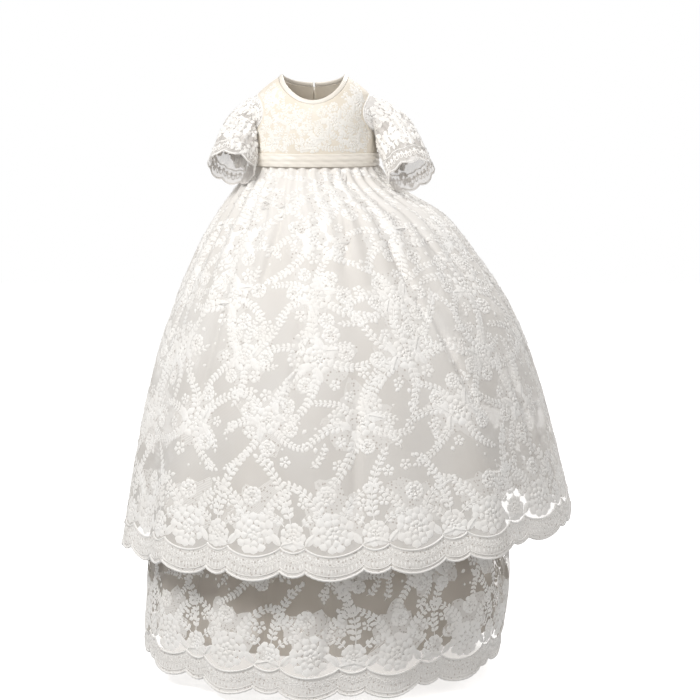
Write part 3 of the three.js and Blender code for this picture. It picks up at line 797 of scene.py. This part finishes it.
def hem_border(work, repeat):
    """One repeat of the scalloped border: cords, close net, eyelets, two flowers, leaves and sprigs."""
    skirt = work.cloth
    span = FULL_TURN / skirt.repeats
    start = repeat * span
    directions = start + span * np.linspace(0, 1, BORDER_STOPS + 1)
    edge = -skirt.scallop(directions)
    ripple = PICOT * np.abs(np.sin(np.pi * PICOTS_IN_REPEAT * np.linspace(0, 1, BORDER_STOPS + 1)))
    top = edge + BAND_HEIGHT
    work.strip(directions, edge + 0.5, top, 4)
    work.cord(directions, edge + 1.2 - 0.5 * ripple, *EDGE_CORD)
    work.cord(directions, edge + 6.5, *FINE_CORD)
    work.cord(directions, top, *TOP_CORD)
    for i in range(BARS_IN_REPEAT):
        at = start + span * (i + 0.5) / BARS_IN_REPEAT
        low = -float(skirt.scallop(np.array(at)))
        work.lay(BAR, at, low + BAR_HEIGHT, rng.uniform(-14, 14))
        work.lay(EYELET, at + span / BARS_IN_REPEAT / 2, low + rng.uniform(*EYELET_HEIGHTS))
        work.lay(DROP, at, low + DROP_HEIGHT, rng.uniform(-30, 30), 0.62)
    wide = start + span * WIDE_SHARE / 2
    narrow = start + span * (1 + WIDE_SHARE) / 2
    peony_height = BAND_HEIGHT - WIDE_DEPTH + FLOWER_GAP + PEONY_RADIUS
    rose_height = BAND_HEIGHT - NARROW_DEPTH + FLOWER_GAP + ROSE_RADIUS * 0.9
    work.lay(rng.choice(PATCHES), wide, peony_height + 26, rng.uniform(-30, 30), 0.85)
    for side in (-1, 1):
        between = wide + side * span * WIDE_SHARE / 2
        work.lay(LEAVES, between, BAND_HEIGHT + 2, side * 18, 0.9)
        lay_from(work, rng.choice(SHORT_FERNS), wide, peony_height, PEONY_RADIUS - 4, side * 34, side * 24,
                 rng.uniform(0.95, 1.1), side > 0)
        lay_from(work, rng.choice(TENDRILS), narrow, rose_height, ROSE_RADIUS - 4, side * 46, side * 40,
                 1.0, side < 0)
    work.lay(rng.choice(PEONIES), wide, peony_height, rng.uniform(0, 40), guard=30)
    work.lay(rng.choice(ROSES), narrow, rose_height, rng.uniform(0, 50), 0.9, guard=22)
    lay_from(work, rng.choice(LONG_FERNS), narrow, rose_height, ROSE_RADIUS - 4, rng.uniform(-12, 12),
             rng.uniform(-20, 8), rng.uniform(0.95, 1.1), repeat % 2 == 0)
    work.lay(rng.choice(ROSEBUDS), wide + rng.uniform(-2, 2), peony_height + 49, rng.uniform(0, 60), guard=14)
    work.lay(BLOSSOM, narrow - span * 0.13, rose_height + 38, rng.uniform(0, 60), guard=10)
    work.lay(BLOSSOM, narrow + span * 0.13, rose_height + 44, rng.uniform(0, 60), 0.9, guard=9)
    work.taken += [(narrow, rose_height + 55, 20.0), (wide, peony_height + 40, 30.0)]


BOUQUET_SPRIGS = ((-34, SHORT_FERNS), (22, LONG_FERNS), (84, TENDRILS), (-92, SHORT_FERNS),
                  (142, SHORT_FERNS), (-150, LONG_FERNS))
BOUQUET_BUDS = ((-6, 36), (58, 34), (-64, 33), (112, 35), (180, 36), (-122, 34))


def bouquet(work, a, b, size, flip, ground=True):
    """A rose with broad leaves, sprigs that curve away from it, buds and small flowers, over close net."""
    lean = rng.uniform(-40, 40)
    if ground:
        work.lay(rng.choice(PATCHES), a, b, rng.uniform(0, FULL_TURN), size * rng.uniform(0.75, 1.0))
    for turn, sprigs in BOUQUET_SPRIGS:
        lay_from(work, rng.choice(sprigs), a, b, 15 * size, turn + lean, turn + lean + rng.uniform(-12, 12),
                 size * rng.uniform(0.8, 1.0), flip)
    for turn in (60, -120):
        lay_from(work, LEAVES, a, b, 12 * size, turn + lean, turn + lean, size * 0.95)
    for turn, far in BOUQUET_BUDS:
        motif, scale = rng.choice(((ROSEBUDS[0], 0.9), (ROSEBUDS[1], 0.8), (BLOSSOM, 1.0), (BLOSSOM, 0.8)))
        away = far * size * rng.uniform(0.9, 1.15)
        lay_from(work, motif, a, b, away, turn + lean, rng.uniform(0, 72), size * scale)
    work.lay(rng.choice(ROSES), a, b, rng.uniform(0, 50), size, guard=44 * size)


def sprinkle(work, count, a_range, b_range):
    """Small sprigs and dots in what the larger motifs leave bare."""
    for _ in range(count):
        a = rng.uniform(*a_range)
        b = rng.uniform(*b_range)
        sprig = rng.choice(TENDRILS)
        motif, radius, size = rng.choice(((sprig, 10, 0.9), (BLOSSOM, 8, 0.9), (DROP, 4, 1.0), (DOT, 3, 1.2)))
        if work.is_free(a, b, radius):
            work.lay(motif, a, b, rng.uniform(-70, 70), size, rng.random() < 0.5, guard=radius)


def skirt_lace(skirt, half_from, rows, pitch, size, loose):
    """Border, rows of bouquets and small sprigs on one half of a skirt."""
    work = Lacework(skirt)
    span = FULL_TURN / skirt.repeats
    first = int(half_from / span)
    for repeat in range(first, first + skirt.repeats // 2):
        hem_border(work, repeat)
    for row, height in enumerate(rows):
        girth = math.pi * float(section_radius(skirt.sections, np.array(45.0), skirt.z_at(height)))
        columns = max(3, round(girth / pitch))
        for column in range(columns):
            place = (column + (0.28 if row % 2 else 0.72)) / columns
            at = half_from + RIGHT_SIDE * place + rng.uniform(-1.5, 1.5)
            up = height + rng.uniform(-9, 9)
            bouquet(work, at, up, size * rng.uniform(0.92, 1.08), rng.random() < 0.5)
    sprinkle(work, loose, (half_from + 1, half_from + RIGHT_SIDE - 1), (60, rows[-1] + 60))
    return work


def bodice_lace(places):
    """Close bouquets over part of the bodice."""
    work = Lacework(BODICE)
    for direction, z in places:
        bouquet(work, direction, z, BODICE_LACE_SIZE * rng.uniform(0.9, 1.1), rng.random() < 0.5, False)
    return work


def sleeve_lace(sleeve):
    """Roses with sprigs round a sleeve, over a scalloped cuff edge."""
    work = Lacework(sleeve)
    for row, along in enumerate((0.30, 0.66)):
        for column in range(4):
            swing = 2 * math.pi * (column + 0.5 * (row % 2)) / 4
            lean = rng.uniform(0, FULL_TURN)
            for turn in (0, 120, 240):
                lay_from(work, rng.choice(TENDRILS), swing, along, 12, lean + turn, lean + turn, 0.9, row > 0)
            work.lay(rng.choice(ROSES), swing, along, lean, 0.85)
            work.lay(BLOSSOM, swing + math.pi / 4, along, lean, 0.9)
    swings = np.linspace(0, 2 * np.pi, CUFF_STOPS, endpoint=False)
    for along, width in ((0.985, 2.2), (0.86, 1.6)):
        work.cord(swings, np.full(CUFF_STOPS, along), width, 1.6, True)
    for i in range(CUFF_EYELETS):
        swing = 2 * math.pi * (i + 0.5) / CUFF_EYELETS
        work.lay(EYELET, swing, 0.925, size=0.9)
        work.lay(DOT, swing + math.pi / CUFF_EYELETS, 0.9)
    work.cord(swings, np.full(CUFF_STOPS, 0.03), 2.4, 1.3, True)
    return work


# Materials

def add_node(tree, kind, **inputs):
    node = tree.nodes.new(kind)
    for name, value in inputs.items():
        node.inputs[name.replace("_", " ")].default_value = value
    return node


def two_tones(tree, factor, *stops):
    """A ramp between two colours, each given with its place on the ramp."""
    ramp = add_node(tree, "ShaderNodeValToRGB")
    for element, (position, colour) in zip(ramp.color_ramp.elements, stops):
        element.position = position
        element.color = (*colour, 1)
    tree.links.new(factor, ramp.inputs["Fac"])
    return ramp.outputs["Color"]


def mottled(tree, place, scale, low, high):
    """A colour that wanders between two tones."""
    noise = add_node(tree, "ShaderNodeTexNoise", Scale=scale, Detail=4.0)
    tree.links.new(place.outputs["Object"], noise.inputs["Vector"])
    return two_tones(tree, noise.outputs["Fac"], (0.35, low), (0.65, high))


def speckled(tree, place, spacing, dark, light):
    """The pattern of small holes in close net, as dark spots on the thread colour: the spots are painted
    shade, for what is seen through the holes.
    """
    cells = add_node(tree, "ShaderNodeTexVoronoi", Scale=1 / (spacing * MM))
    tree.links.new(place.outputs["Object"], cells.inputs["Vector"])
    return two_tones(tree, cells.outputs["Distance"], (0.18, dark), (0.34, light))


RIDGE_HEIGHT = 0.3
RIDGE_WANDER = 1.5


def relief(tree, place, period, strength, axis):
    """Fine ridges of a given period in millimetres, as bump."""
    wave = add_node(tree, "ShaderNodeTexWave", Scale=2 * math.pi / (20 * period * MM),
                    Distortion=RIDGE_WANDER, Detail=2.0)
    wave.bands_direction = axis
    tree.links.new(place.outputs["Object"], wave.inputs["Vector"])
    bump = add_node(tree, "ShaderNodeBump", Strength=strength, Distance=RIDGE_HEIGHT * MM)
    tree.links.new(wave.outputs["Fac"], bump.inputs["Height"])
    return bump


def cloth_material(name, low, high, tone_scale, period, strength, axis, holes=0.0, **settings):
    """A cloth: wandering tone or holes at a spacing painted as shaded spots, fine ridges, and the shader's
    own settings.
    """
    material = bpy.data.materials.new(name)
    material.use_nodes = True
    tree = material.node_tree
    shader = tree.nodes["Principled BSDF"]
    place = add_node(tree, "ShaderNodeTexCoord")
    if holes:
        tone = speckled(tree, place, holes, low, high)
    else:
        tone = mottled(tree, place, tone_scale, low, high)
    tree.links.new(tone, shader.inputs["Base Color"])
    bump = relief(tree, place, period, strength, axis)
    tree.links.new(bump.outputs["Normal"], shader.inputs["Normal"])
    for key, value in settings.items():
        shader.inputs[key.replace("_", " ")].default_value = value
    return material


def denser_upwards(material, low, high):
    """Makes tulle more opaque upwards: partly for its closer gathers, partly as painted shade, so that more
    of the darker lining shows towards the hem. Each end is a height and an alpha.
    """
    tree = material.node_tree
    place = add_node(tree, "ShaderNodeTexCoord")
    parts = add_node(tree, "ShaderNodeSeparateXYZ")
    share = add_node(tree, "ShaderNodeMapRange", From_Min=low[0] * MM, From_Max=high[0] * MM, To_Min=low[1],
                     To_Max=high[1])
    tree.links.new(place.outputs["Object"], parts.inputs["Vector"])
    tree.links.new(parts.outputs["Z"], share.inputs["Value"])
    tree.links.new(share.outputs["Result"], tree.nodes["Principled BSDF"].inputs["Alpha"])


TULLE = cloth_material("ivory_tulle", (0.87, 0.84, 0.80), (0.93, 0.91, 0.88), 9.0, 1.2, 0.25, "DIAGONAL",
                       Roughness=0.9, Sheen_Weight=0.15)
# Painted shade: the tulle lets more of the darker lining through lower down, so the overskirt darkens towards
# the hem.
denser_upwards(TULLE, (-640, 0.60), (-180, 0.86))
SLEEVE_TULLE = cloth_material("sleeve_tulle", (0.87, 0.83, 0.79), (0.93, 0.90, 0.87), 9.0, 1.2, 0.25,
                              "DIAGONAL", Roughness=0.9, Alpha=0.52, Sheen_Weight=0.15)
SHEER = cloth_material("sheer_tulle", (0.80, 0.74, 0.66), (0.88, 0.83, 0.76), 9.0, 1.2, 0.25, "DIAGONAL",
                       Roughness=0.9, Alpha=0.40, Sheen_Weight=0.15)
# Painted shade: the net's holes are dark spots on the thread colour.
NET_LACE = cloth_material("close_net", (0.58, 0.53, 0.49), (0.89, 0.87, 0.84), 0.0, 1.4, 0.8, "DIAGONAL",
                          holes=4.6, Roughness=0.85, Alpha=0.84)
LACE = cloth_material("lace_thread", (0.90, 0.88, 0.85), (0.94, 0.93, 0.91), 40.0, 0.9, 0.5, "DIAGONAL",
                      Roughness=0.6, Sheen_Weight=0.25)
BODICE_GROUND = cloth_material("bodice_ground", (0.80, 0.73, 0.62), (0.88, 0.83, 0.74), 25.0, 0.7, 0.3, "Z",
                               Roughness=0.75, Sheen_Weight=0.2)
BODICE_THREAD = cloth_material("bodice_thread", (0.92, 0.89, 0.83), (0.95, 0.93, 0.89), 40.0, 0.9, 0.5,
                               "DIAGONAL", Roughness=0.6, Sheen_Weight=0.25)
# The lining is cream satin; the darker tan end of its tone is painted shade, for the lining seen in shade
# through the tulle.
LINING_SATIN = cloth_material("cream_lining_painted_shade", (0.58, 0.49, 0.42), (0.84, 0.78, 0.70), 6.0, 0.6, 0.15, "Z",
                              Roughness=0.45, Sheen_Weight=0.3)
RIBBON = cloth_material("cream_satin", (0.86, 0.81, 0.73), (0.92, 0.88, 0.81), 20.0, 0.5, 0.15, "Z",
                        Roughness=0.32, Sheen_Weight=0.3)
PEARL = cloth_material("pearl", (0.84, 0.80, 0.74), (0.90, 0.87, 0.83), 300.0, 2.0, 0.05, "Z",
                       Roughness=0.22, Coat_Weight=0.6)


# Skirts

def half_skirt(name, skirt, half_from, columns, rows, material, wall=0.0):
    """A half of a skirt as a thin shell, down to its scalloped edge."""
    margin = math.degrees(SEAM_GAP / 2 / skirt.sections["front"][0])
    directions = np.linspace(half_from + margin, half_from + RIGHT_SIDE - margin, columns)
    share = np.linspace(0, 1, rows)[:, None]
    edge = skirt.hem - skirt.scallop(directions)
    z = (edge + (skirt.top - edge) * share).ravel()
    around_it = np.tile(directions, rows)
    points = skirt.point_at_z(around_it, z)
    faces = grid_faces(columns, rows)
    if wall:
        grid = points.reshape(rows, columns, 3)
        normals = unit(np.cross(np.gradient(grid, axis=1), np.gradient(grid, axis=0))).reshape(-1, 3)
        points, faces = thicken(points, normals, faces, columns, rows, wall)
    return make_piece(name, points, faces, [material])


COLUMNS_IN_REPEAT = 25
HALVES = {"front": RIGHT_SIDE, "back": 0.0}
OVERSKIRT_ROWS = (196, 284, 370, 452, 528)
FLOUNCE_ROWS = (178,)
FLOUNCE_COLUMNS = FLOUNCE.repeats // 2 * COLUMNS_IN_REPEAT + 1
OVERSKIRT_COLUMNS = OVERSKIRT.repeats // 2 * COLUMNS_IN_REPEAT + 1
for half, half_from in HALVES.items():
    lining = half_skirt(f"lining_{half}_satin", LINING, half_from, 130, 70, LINING_SATIN, wall=0.8)
    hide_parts(f"lining_{half}")

    flounce = half_skirt(f"flounce_{half}_tulle", FLOUNCE, half_from, FLOUNCE_COLUMNS, 56, SHEER)
    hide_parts(f"flounce_{half}")
    flounce_work = skirt_lace(FLOUNCE, half_from, FLOUNCE_ROWS, pitch=118, size=0.9, loose=420)
    flounce_lace = flounce_work.piece(f"flounce_{half}_lace", [LACE, NET_LACE], "lace")

    overskirt = half_skirt(f"overskirt_{half}_tulle", OVERSKIRT, half_from, OVERSKIRT_COLUMNS, 110, TULLE)
    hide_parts(f"overskirt_{half}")
    overskirt_work = skirt_lace(OVERSKIRT, half_from, OVERSKIRT_ROWS, pitch=116, size=1.0, loose=900)
    overskirt_lace = overskirt_work.piece(f"overskirt_{half}_lace", [LACE, NET_LACE], "lace")


# Bodice

SIDE_SEAM_ROWS = 10
ARMHOLE_ROWS = 40
NECK_ROWS = 44
HALF_COLUMNS = 40
LEAST_ROW = 0.25
SEAM_RADIUS = 40


def armhole_reach(z):
    """Degrees from the side seam to the armhole at heights z."""
    share = np.minimum(np.abs(z - ARMHOLE_MIDDLE) / ARMHOLE_HALF_HEIGHT, 1)
    return ARMHOLE_REACH * np.sqrt(1 - share ** 2)


def neck_reach(z, drop):
    """Degrees from the side seam to the neckline at heights z, or to the centre line below it."""
    across = BODICE_SECTIONS["half_width"][0] * np.sqrt(1 - np.minimum(-z / drop, 1) ** (2 / NECK_ROUNDNESS))
    reach = np.degrees(np.arccos(np.minimum(across / section_at(BODICE_SECTIONS, "half_width", z), 1)))
    return np.where(z <= -drop, RIGHT_SIDE / 2, reach)


def panel_levels(drop):
    """Heights of a panel's rows: evenly up the side seam, then close together where an edge turns."""
    levels = np.concatenate([
        np.linspace(WAIST_Z, UNDERARM_Z, SIDE_SEAM_ROWS, endpoint=False),
        ARMHOLE_MIDDLE - ARMHOLE_HALF_HEIGHT * np.cos(np.linspace(0, np.pi, ARMHOLE_ROWS))])
    necks = -drop * np.sin(np.linspace(0, np.pi / 2, NECK_ROWS)) ** NECK_ROUNDNESS
    apart = np.abs(levels[:, None] - necks[None, :]).min(axis=1) > LEAST_ROW
    return np.sort(np.concatenate([levels[apart], necks]))


def panel_half(seam, sense, drop, limits):
    """Directions and heights over half a panel, row by row, columns in the order of their directions."""
    z = panel_levels(drop)[:, None]
    across = np.linspace(0, 1, HALF_COLUMNS + 1)[None, ::sense]
    reach = armhole_reach(z) + (neck_reach(z, drop) - armhole_reach(z)) * across
    margin = math.degrees(SEAM_GAP / 2 / SEAM_RADIUS)
    direction = np.clip(seam + sense * reach, limits[0] + margin, limits[1] - margin)
    return direction, np.broadcast_to(z, direction.shape)


def bodice_panel(name, halves, wall):
    """A bodice panel of one or two halves, as a thin wall. Stops that two halves share are joined."""
    stops = np.concatenate([np.stack([d.ravel(), z.ravel()], axis=1) for d, z in halves])
    rows, columns = halves[0][0].shape
    grid = grid_faces(columns, rows)
    faces = np.concatenate([grid + half * rows * columns for half in range(len(halves))])
    stops, number = np.unique(stops.round(5), axis=0, return_inverse=True)
    faces = number.ravel()[faces]
    corners = [list(dict.fromkeys(face)) for face in faces.tolist()]
    corners = [face for face in corners if len(face) > 2]
    rim = {}
    for face in corners:
        for here, then in zip(face, face[1:] + face[:1]):
            if rim.pop((then, here), None) is None:
                rim[here, then] = True
    _, normals = surface(BODICE, stops[:, 0], np.minimum(stops[:, 1], NORMAL_TOP_Z))
    points = BODICE.point(stops[:, 0], stops[:, 1])
    count = len(points)
    walls = corners + [[i + count for i in reversed(face)] for face in corners]
    walls += [[then, here, here + count, then + count] for here, then in rim]
    points = np.concatenate([points, points - normals * wall])
    return make_piece(name, points, walls, [BODICE_GROUND])


def sweep(name, stops, normals, height, thickness, sides, material):
    """An oval band along a line of stops, standing up from it."""
    along = unit(np.gradient(stops, axis=0))
    standing = unit(np.cross(normals, along))
    standing = standing * np.where(standing[:, 2:] < 0, -1.0, 1.0)
    swing = np.linspace(0, 2 * np.pi, sides, endpoint=False)
    rise = height / 2 * np.cos(swing) + height / 2 + SEAM_GAP
    rings = stops[:, None] + standing[:, None] * rise[None, :, None]
    rings = rings + normals[:, None] * (thickness / 2 * np.sin(swing))[None, :, None]
    count = len(stops)
    faces = grid_faces(sides, count, True).tolist()
    faces.append(list(range(sides)))
    faces.append([(count - 1) * sides + i for i in reversed(range(sides))])
    return make_piece(name, rings.reshape(-1, 3), faces, [material])


BODICE_WALL = 1.0
# Normals are measured no higher than this, because the sections end at the shoulder seams
NORMAL_TOP_Z = -0.6
BODICE_LACE_SIZE = 0.58
FRONT_PLACES = [(d, z) for row, z in enumerate((-62, -94)) for d in range(210 + 20 * (row % 2), 345, 40)]
FRONT_PLACES += [(221, -36), (319, -36)]
LEFT_PLACES = [(46, -34), (66, -64), (34, -92), (72, -96)]
RIGHT_PLACES = [(RIGHT_SIDE - d, z) for d, z in LEFT_PLACES]
FRONT_LIMITS = (RIGHT_SIDE, FULL_TURN)
LEFT_LIMITS = (0.0, CENTRE_BACK)
RIGHT_LIMITS = (CENTRE_BACK, RIGHT_SIDE)
FRONT_HALVES = [panel_half(RIGHT_SIDE, 1, NECK_DROP_FRONT, FRONT_LIMITS),
                panel_half(FULL_TURN, -1, NECK_DROP_FRONT, FRONT_LIMITS)]
LEFT_HALF = [panel_half(0.0, 1, NECK_DROP_BACK, LEFT_LIMITS)]
RIGHT_HALF = [panel_half(RIGHT_SIDE, -1, NECK_DROP_BACK, RIGHT_LIMITS)]
FRONT_CUT = {"flat": (0.29, 0.135), "area": 0.026}
BACK_CUT = {"flat": (0.14, 0.13), "area": 0.0135}
PANELS = {
    "bodice_front": (FRONT_HALVES, FRONT_PLACES, FRONT_CUT),
    "bodice_back_left": (LEFT_HALF, LEFT_PLACES, BACK_CUT),
    "bodice_back_right": (RIGHT_HALF, RIGHT_PLACES, BACK_CUT),
}
for node, (halves, places, cut) in PANELS.items():
    panel = bodice_panel(f"{node}_cloth", halves, BODICE_WALL)
    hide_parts(node)
    lace = bodice_lace(places).piece(f"{node}_lace", [BODICE_THREAD, BODICE_GROUND], "bodice_lace")


def neck_binding():
    back = 0.5 + BACK_OPENING_HALF / RIGHT_SIDE
    runs = (neckline(np.linspace(back, 1, 30, endpoint=False), False),
            neckline(np.linspace(1, 0, 70, endpoint=False), True),
            neckline(np.linspace(0, 1 - back, 31), False))
    direction = np.concatenate([run[0] for run in runs])
    z = np.concatenate([run[1] for run in runs])
    _, normals = surface(BODICE, direction, np.minimum(z, NORMAL_TOP_Z))
    points = section_point(BODICE_SECTIONS, direction, z) - normals * BODICE_WALL / 2
    return sweep("neck_binding_satin", points, normals, BINDING_HEIGHT, BINDING_THICKNESS, BINDING_SIDES,
                 RIBBON)


def round_band(name, cloth, z_rows, lifts, columns, wall, material):
    """A ribbon all round the waist, with folds given by how far each row stands out."""
    rows = len(z_rows)
    directions = np.linspace(0, FULL_TURN, columns, endpoint=False)
    a = np.tile(directions, rows)
    points, normals = surface(cloth, a, np.repeat(z_rows, columns))
    wrinkle = 0.25 * np.sin(np.radians(a) * 23 + np.repeat(z_rows, columns) * 0.7)
    points = points + normals * (np.repeat(lifts, columns) + wrinkle)[:, None]
    points, faces = thicken(points, normals, grid_faces(columns, rows, True), columns, rows, wall, True)
    return make_piece(name, points, faces, [material])


binding = neck_binding()
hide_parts("neck_binding")

SASH_ROWS = 17
SASH_COLUMNS = 180
SASH_WALL = 1.2
SASH_LIFT = 1.5
SASH_FOLD = 0.9
sash_share = np.linspace(0, 1, SASH_ROWS)
sash_folds = np.abs(np.sin(2.5 * np.pi * sash_share))
sash_lifts = LAID_ON_LIFT + SASH_LIFT + SASH_FOLD * sash_folds * np.sin(np.pi * sash_share)
sash_heights = np.linspace(SASH_BOTTOM_Z, SASH_TOP_Z, SASH_ROWS)
sash = round_band("waist_sash_satin", BODICE, sash_heights, sash_lifts, SASH_COLUMNS, SASH_WALL, RIBBON)
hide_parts("waist_sash")


def back_placket():
    columns, rows = 13, 36
    directions = np.linspace(CENTRE_BACK - PLACKET_HALF_WIDTH, CENTRE_BACK + PLACKET_HALF_WIDTH, columns)
    heights = np.linspace(PLACKET_BOTTOM_Z, PLACKET_TOP_Z, rows)
    points, normals = surface(BODICE, np.tile(directions, rows), np.repeat(heights, columns))
    points = points + normals * (LAID_ON_LIFT + PLACKET_LIFT)
    points, faces = thicken(points, normals, grid_faces(columns, rows), columns, rows, PLACKET_WALL)
    return make_piece("back_placket_cloth", points, faces, [BODICE_GROUND])


# Shares of a button's radius and thickness, from its underside over the rim to the dome
BUTTON_PROFILE = ((0.55, 0.0), (0.8, 0.05), (0.96, 0.25), (1.0, 0.42), (0.96, 0.58), (0.86, 0.66),
                  (0.78, 0.62), (0.6, 0.82), (0.35, 0.96))


def button(number, z):
    """A domed shank button with a raised rim."""
    segments = 36
    profile = np.array(BUTTON_PROFILE) * (BUTTON_RADIUS, BUTTON_THICKNESS)
    middle, normal = surface(BODICE, np.array([CENTRE_BACK]), np.array([float(z)]))
    middle = middle[0] + normal[0] * (LAID_ON_LIFT + BUTTON_LIFT)
    across = unit(np.cross(normal[0], (0, 0, 1.0)))
    upward = np.cross(across, normal[0])
    angles = np.linspace(0, 2 * np.pi, segments, endpoint=False)
    points = [middle + across * r * math.cos(t) + upward * r * math.sin(t) + normal[0] * h
              for r, h in profile for t in angles]
    rows = len(profile)
    faces = grid_faces(segments, rows, True)[:, ::-1].tolist()
    top = (rows - 1) * segments
    points.append(middle + normal[0] * BUTTON_THICKNESS)
    faces += [[top + (i + 1) % segments, top + i, len(points) - 1] for i in range(segments)]
    faces.append(list(range(segments)))
    piece = make_piece(f"back_button_{number}_pearl", np.array(points), faces, [PEARL])
    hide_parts(f"back_button_{number}")


placket = back_placket()
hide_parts("back_placket")
for number, height in enumerate(BUTTON_HEIGHTS, 1):
    button(number, height)


# Sleeves

for node, sizes in SLEEVES.items():
    sleeve = Sleeve(**sizes)
    columns, rows = 144, 44
    swings = np.linspace(0, 2 * np.pi, columns, endpoint=False)
    alongs = np.linspace(1, 0, rows)
    points = sleeve.point(np.tile(swings, rows), np.repeat(alongs, columns))
    faces = grid_faces(columns, rows, True)
    if sleeve.side > 0:
        faces = faces[:, ::-1]
    tube = make_piece(f"{node}_tulle", points, faces, [SLEEVE_TULLE])
    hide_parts(node)
    lace = sleeve_lace(sleeve).piece(f"{node}_lace", [LACE, NET_LACE], "lace")


# Floor, light and camera

FLOOR_GAP = 8


def plain_floor():
    mesh = bpy.data.meshes.new("floor")
    reach = 6.0
    level = (FLOUNCE.hem - WIDE_DEPTH - FLOOR_GAP) * MM
    corners = [(-reach, -reach, level), (reach, -reach, level), (reach, reach, level), (-reach, reach, level)]
    mesh.from_pydata(corners, [], [(0, 1, 2, 3)])
    floor = bpy.data.objects.new("floor", mesh)
    bpy.context.scene.collection.objects.link(floor)
    pale = cloth_material("pale_floor", (0.90, 0.90, 0.90), (0.92, 0.92, 0.92), 2.0, 50.0, 0.0, "X",
                          Roughness=0.9, Emission_Color=(1, 1, 1, 1), Emission_Strength=0.70)
    mesh.materials.append(pale)
    floor.visible_diffuse = False


GOWN_MIDDLE = Vector((0.052, 0.0, -0.393))
CAMERA_DISTANCE = 3.224
CAMERA_RISE = math.radians(7)
CAMERA_LENS = 114.35


def soft_light(name, place, size, energy, colour):
    data = bpy.data.lights.new(name, "AREA")
    data.energy = energy
    data.size = size
    data.color = colour
    light = bpy.data.objects.new(name, data)
    light.location = place
    light.rotation_euler = (GOWN_MIDDLE - Vector(place)).to_track_quat("-Z", "Y").to_euler()
    bpy.context.scene.collection.objects.link(light)


def studio():
    """A white surround that lights softly, and is brighter to the eye than to the gown."""
    soft_light("key", (-1.5, -1.9, 1.9), 1.2, 80, (1.0, 0.99, 0.975))
    soft_light("fill", (2.6, -2.2, 1.4), 2.2, 28, (1.0, 0.98, 0.965))
    soft_light("back", (1.2, 2.4, 1.7), 1.6, 64, (1.0, 0.99, 0.975))
    world = bpy.data.worlds.new("studio")
    world.use_nodes = True
    tree = world.node_tree
    background = tree.nodes["Background"]
    background.inputs["Color"].default_value = (1.0, 0.985, 0.97, 1)
    background.inputs["Strength"].default_value = 0.40
    white = add_node(tree, "ShaderNodeBackground", Strength=1.0)
    white.inputs["Color"].default_value = (1, 1, 1, 1)
    path = tree.nodes.new("ShaderNodeLightPath")
    mix = tree.nodes.new("ShaderNodeMixShader")
    tree.links.new(path.outputs["Is Camera Ray"], mix.inputs[0])
    tree.links.new(background.outputs[0], mix.inputs[1])
    tree.links.new(white.outputs[0], mix.inputs[2])
    tree.links.new(mix.outputs[0], tree.nodes["World Output"].inputs["Surface"])
    bpy.context.scene.world = world
    bpy.context.scene.view_settings.view_transform = "Standard"


def photo_camera():
    data = bpy.data.cameras.new("camera")
    data.lens = CAMERA_LENS
    data.sensor_width = 36
    camera = bpy.data.objects.new("camera", data)
    back = Vector((0, -math.cos(CAMERA_RISE), math.sin(CAMERA_RISE)))
    camera.location = GOWN_MIDDLE + back * CAMERA_DISTANCE
    camera.rotation_euler = (-back).to_track_quat("-Z", "Y").to_euler()
    bpy.context.scene.collection.objects.link(camera)
    bpy.context.scene.camera = camera


plain_floor()
studio()
photo_camera()
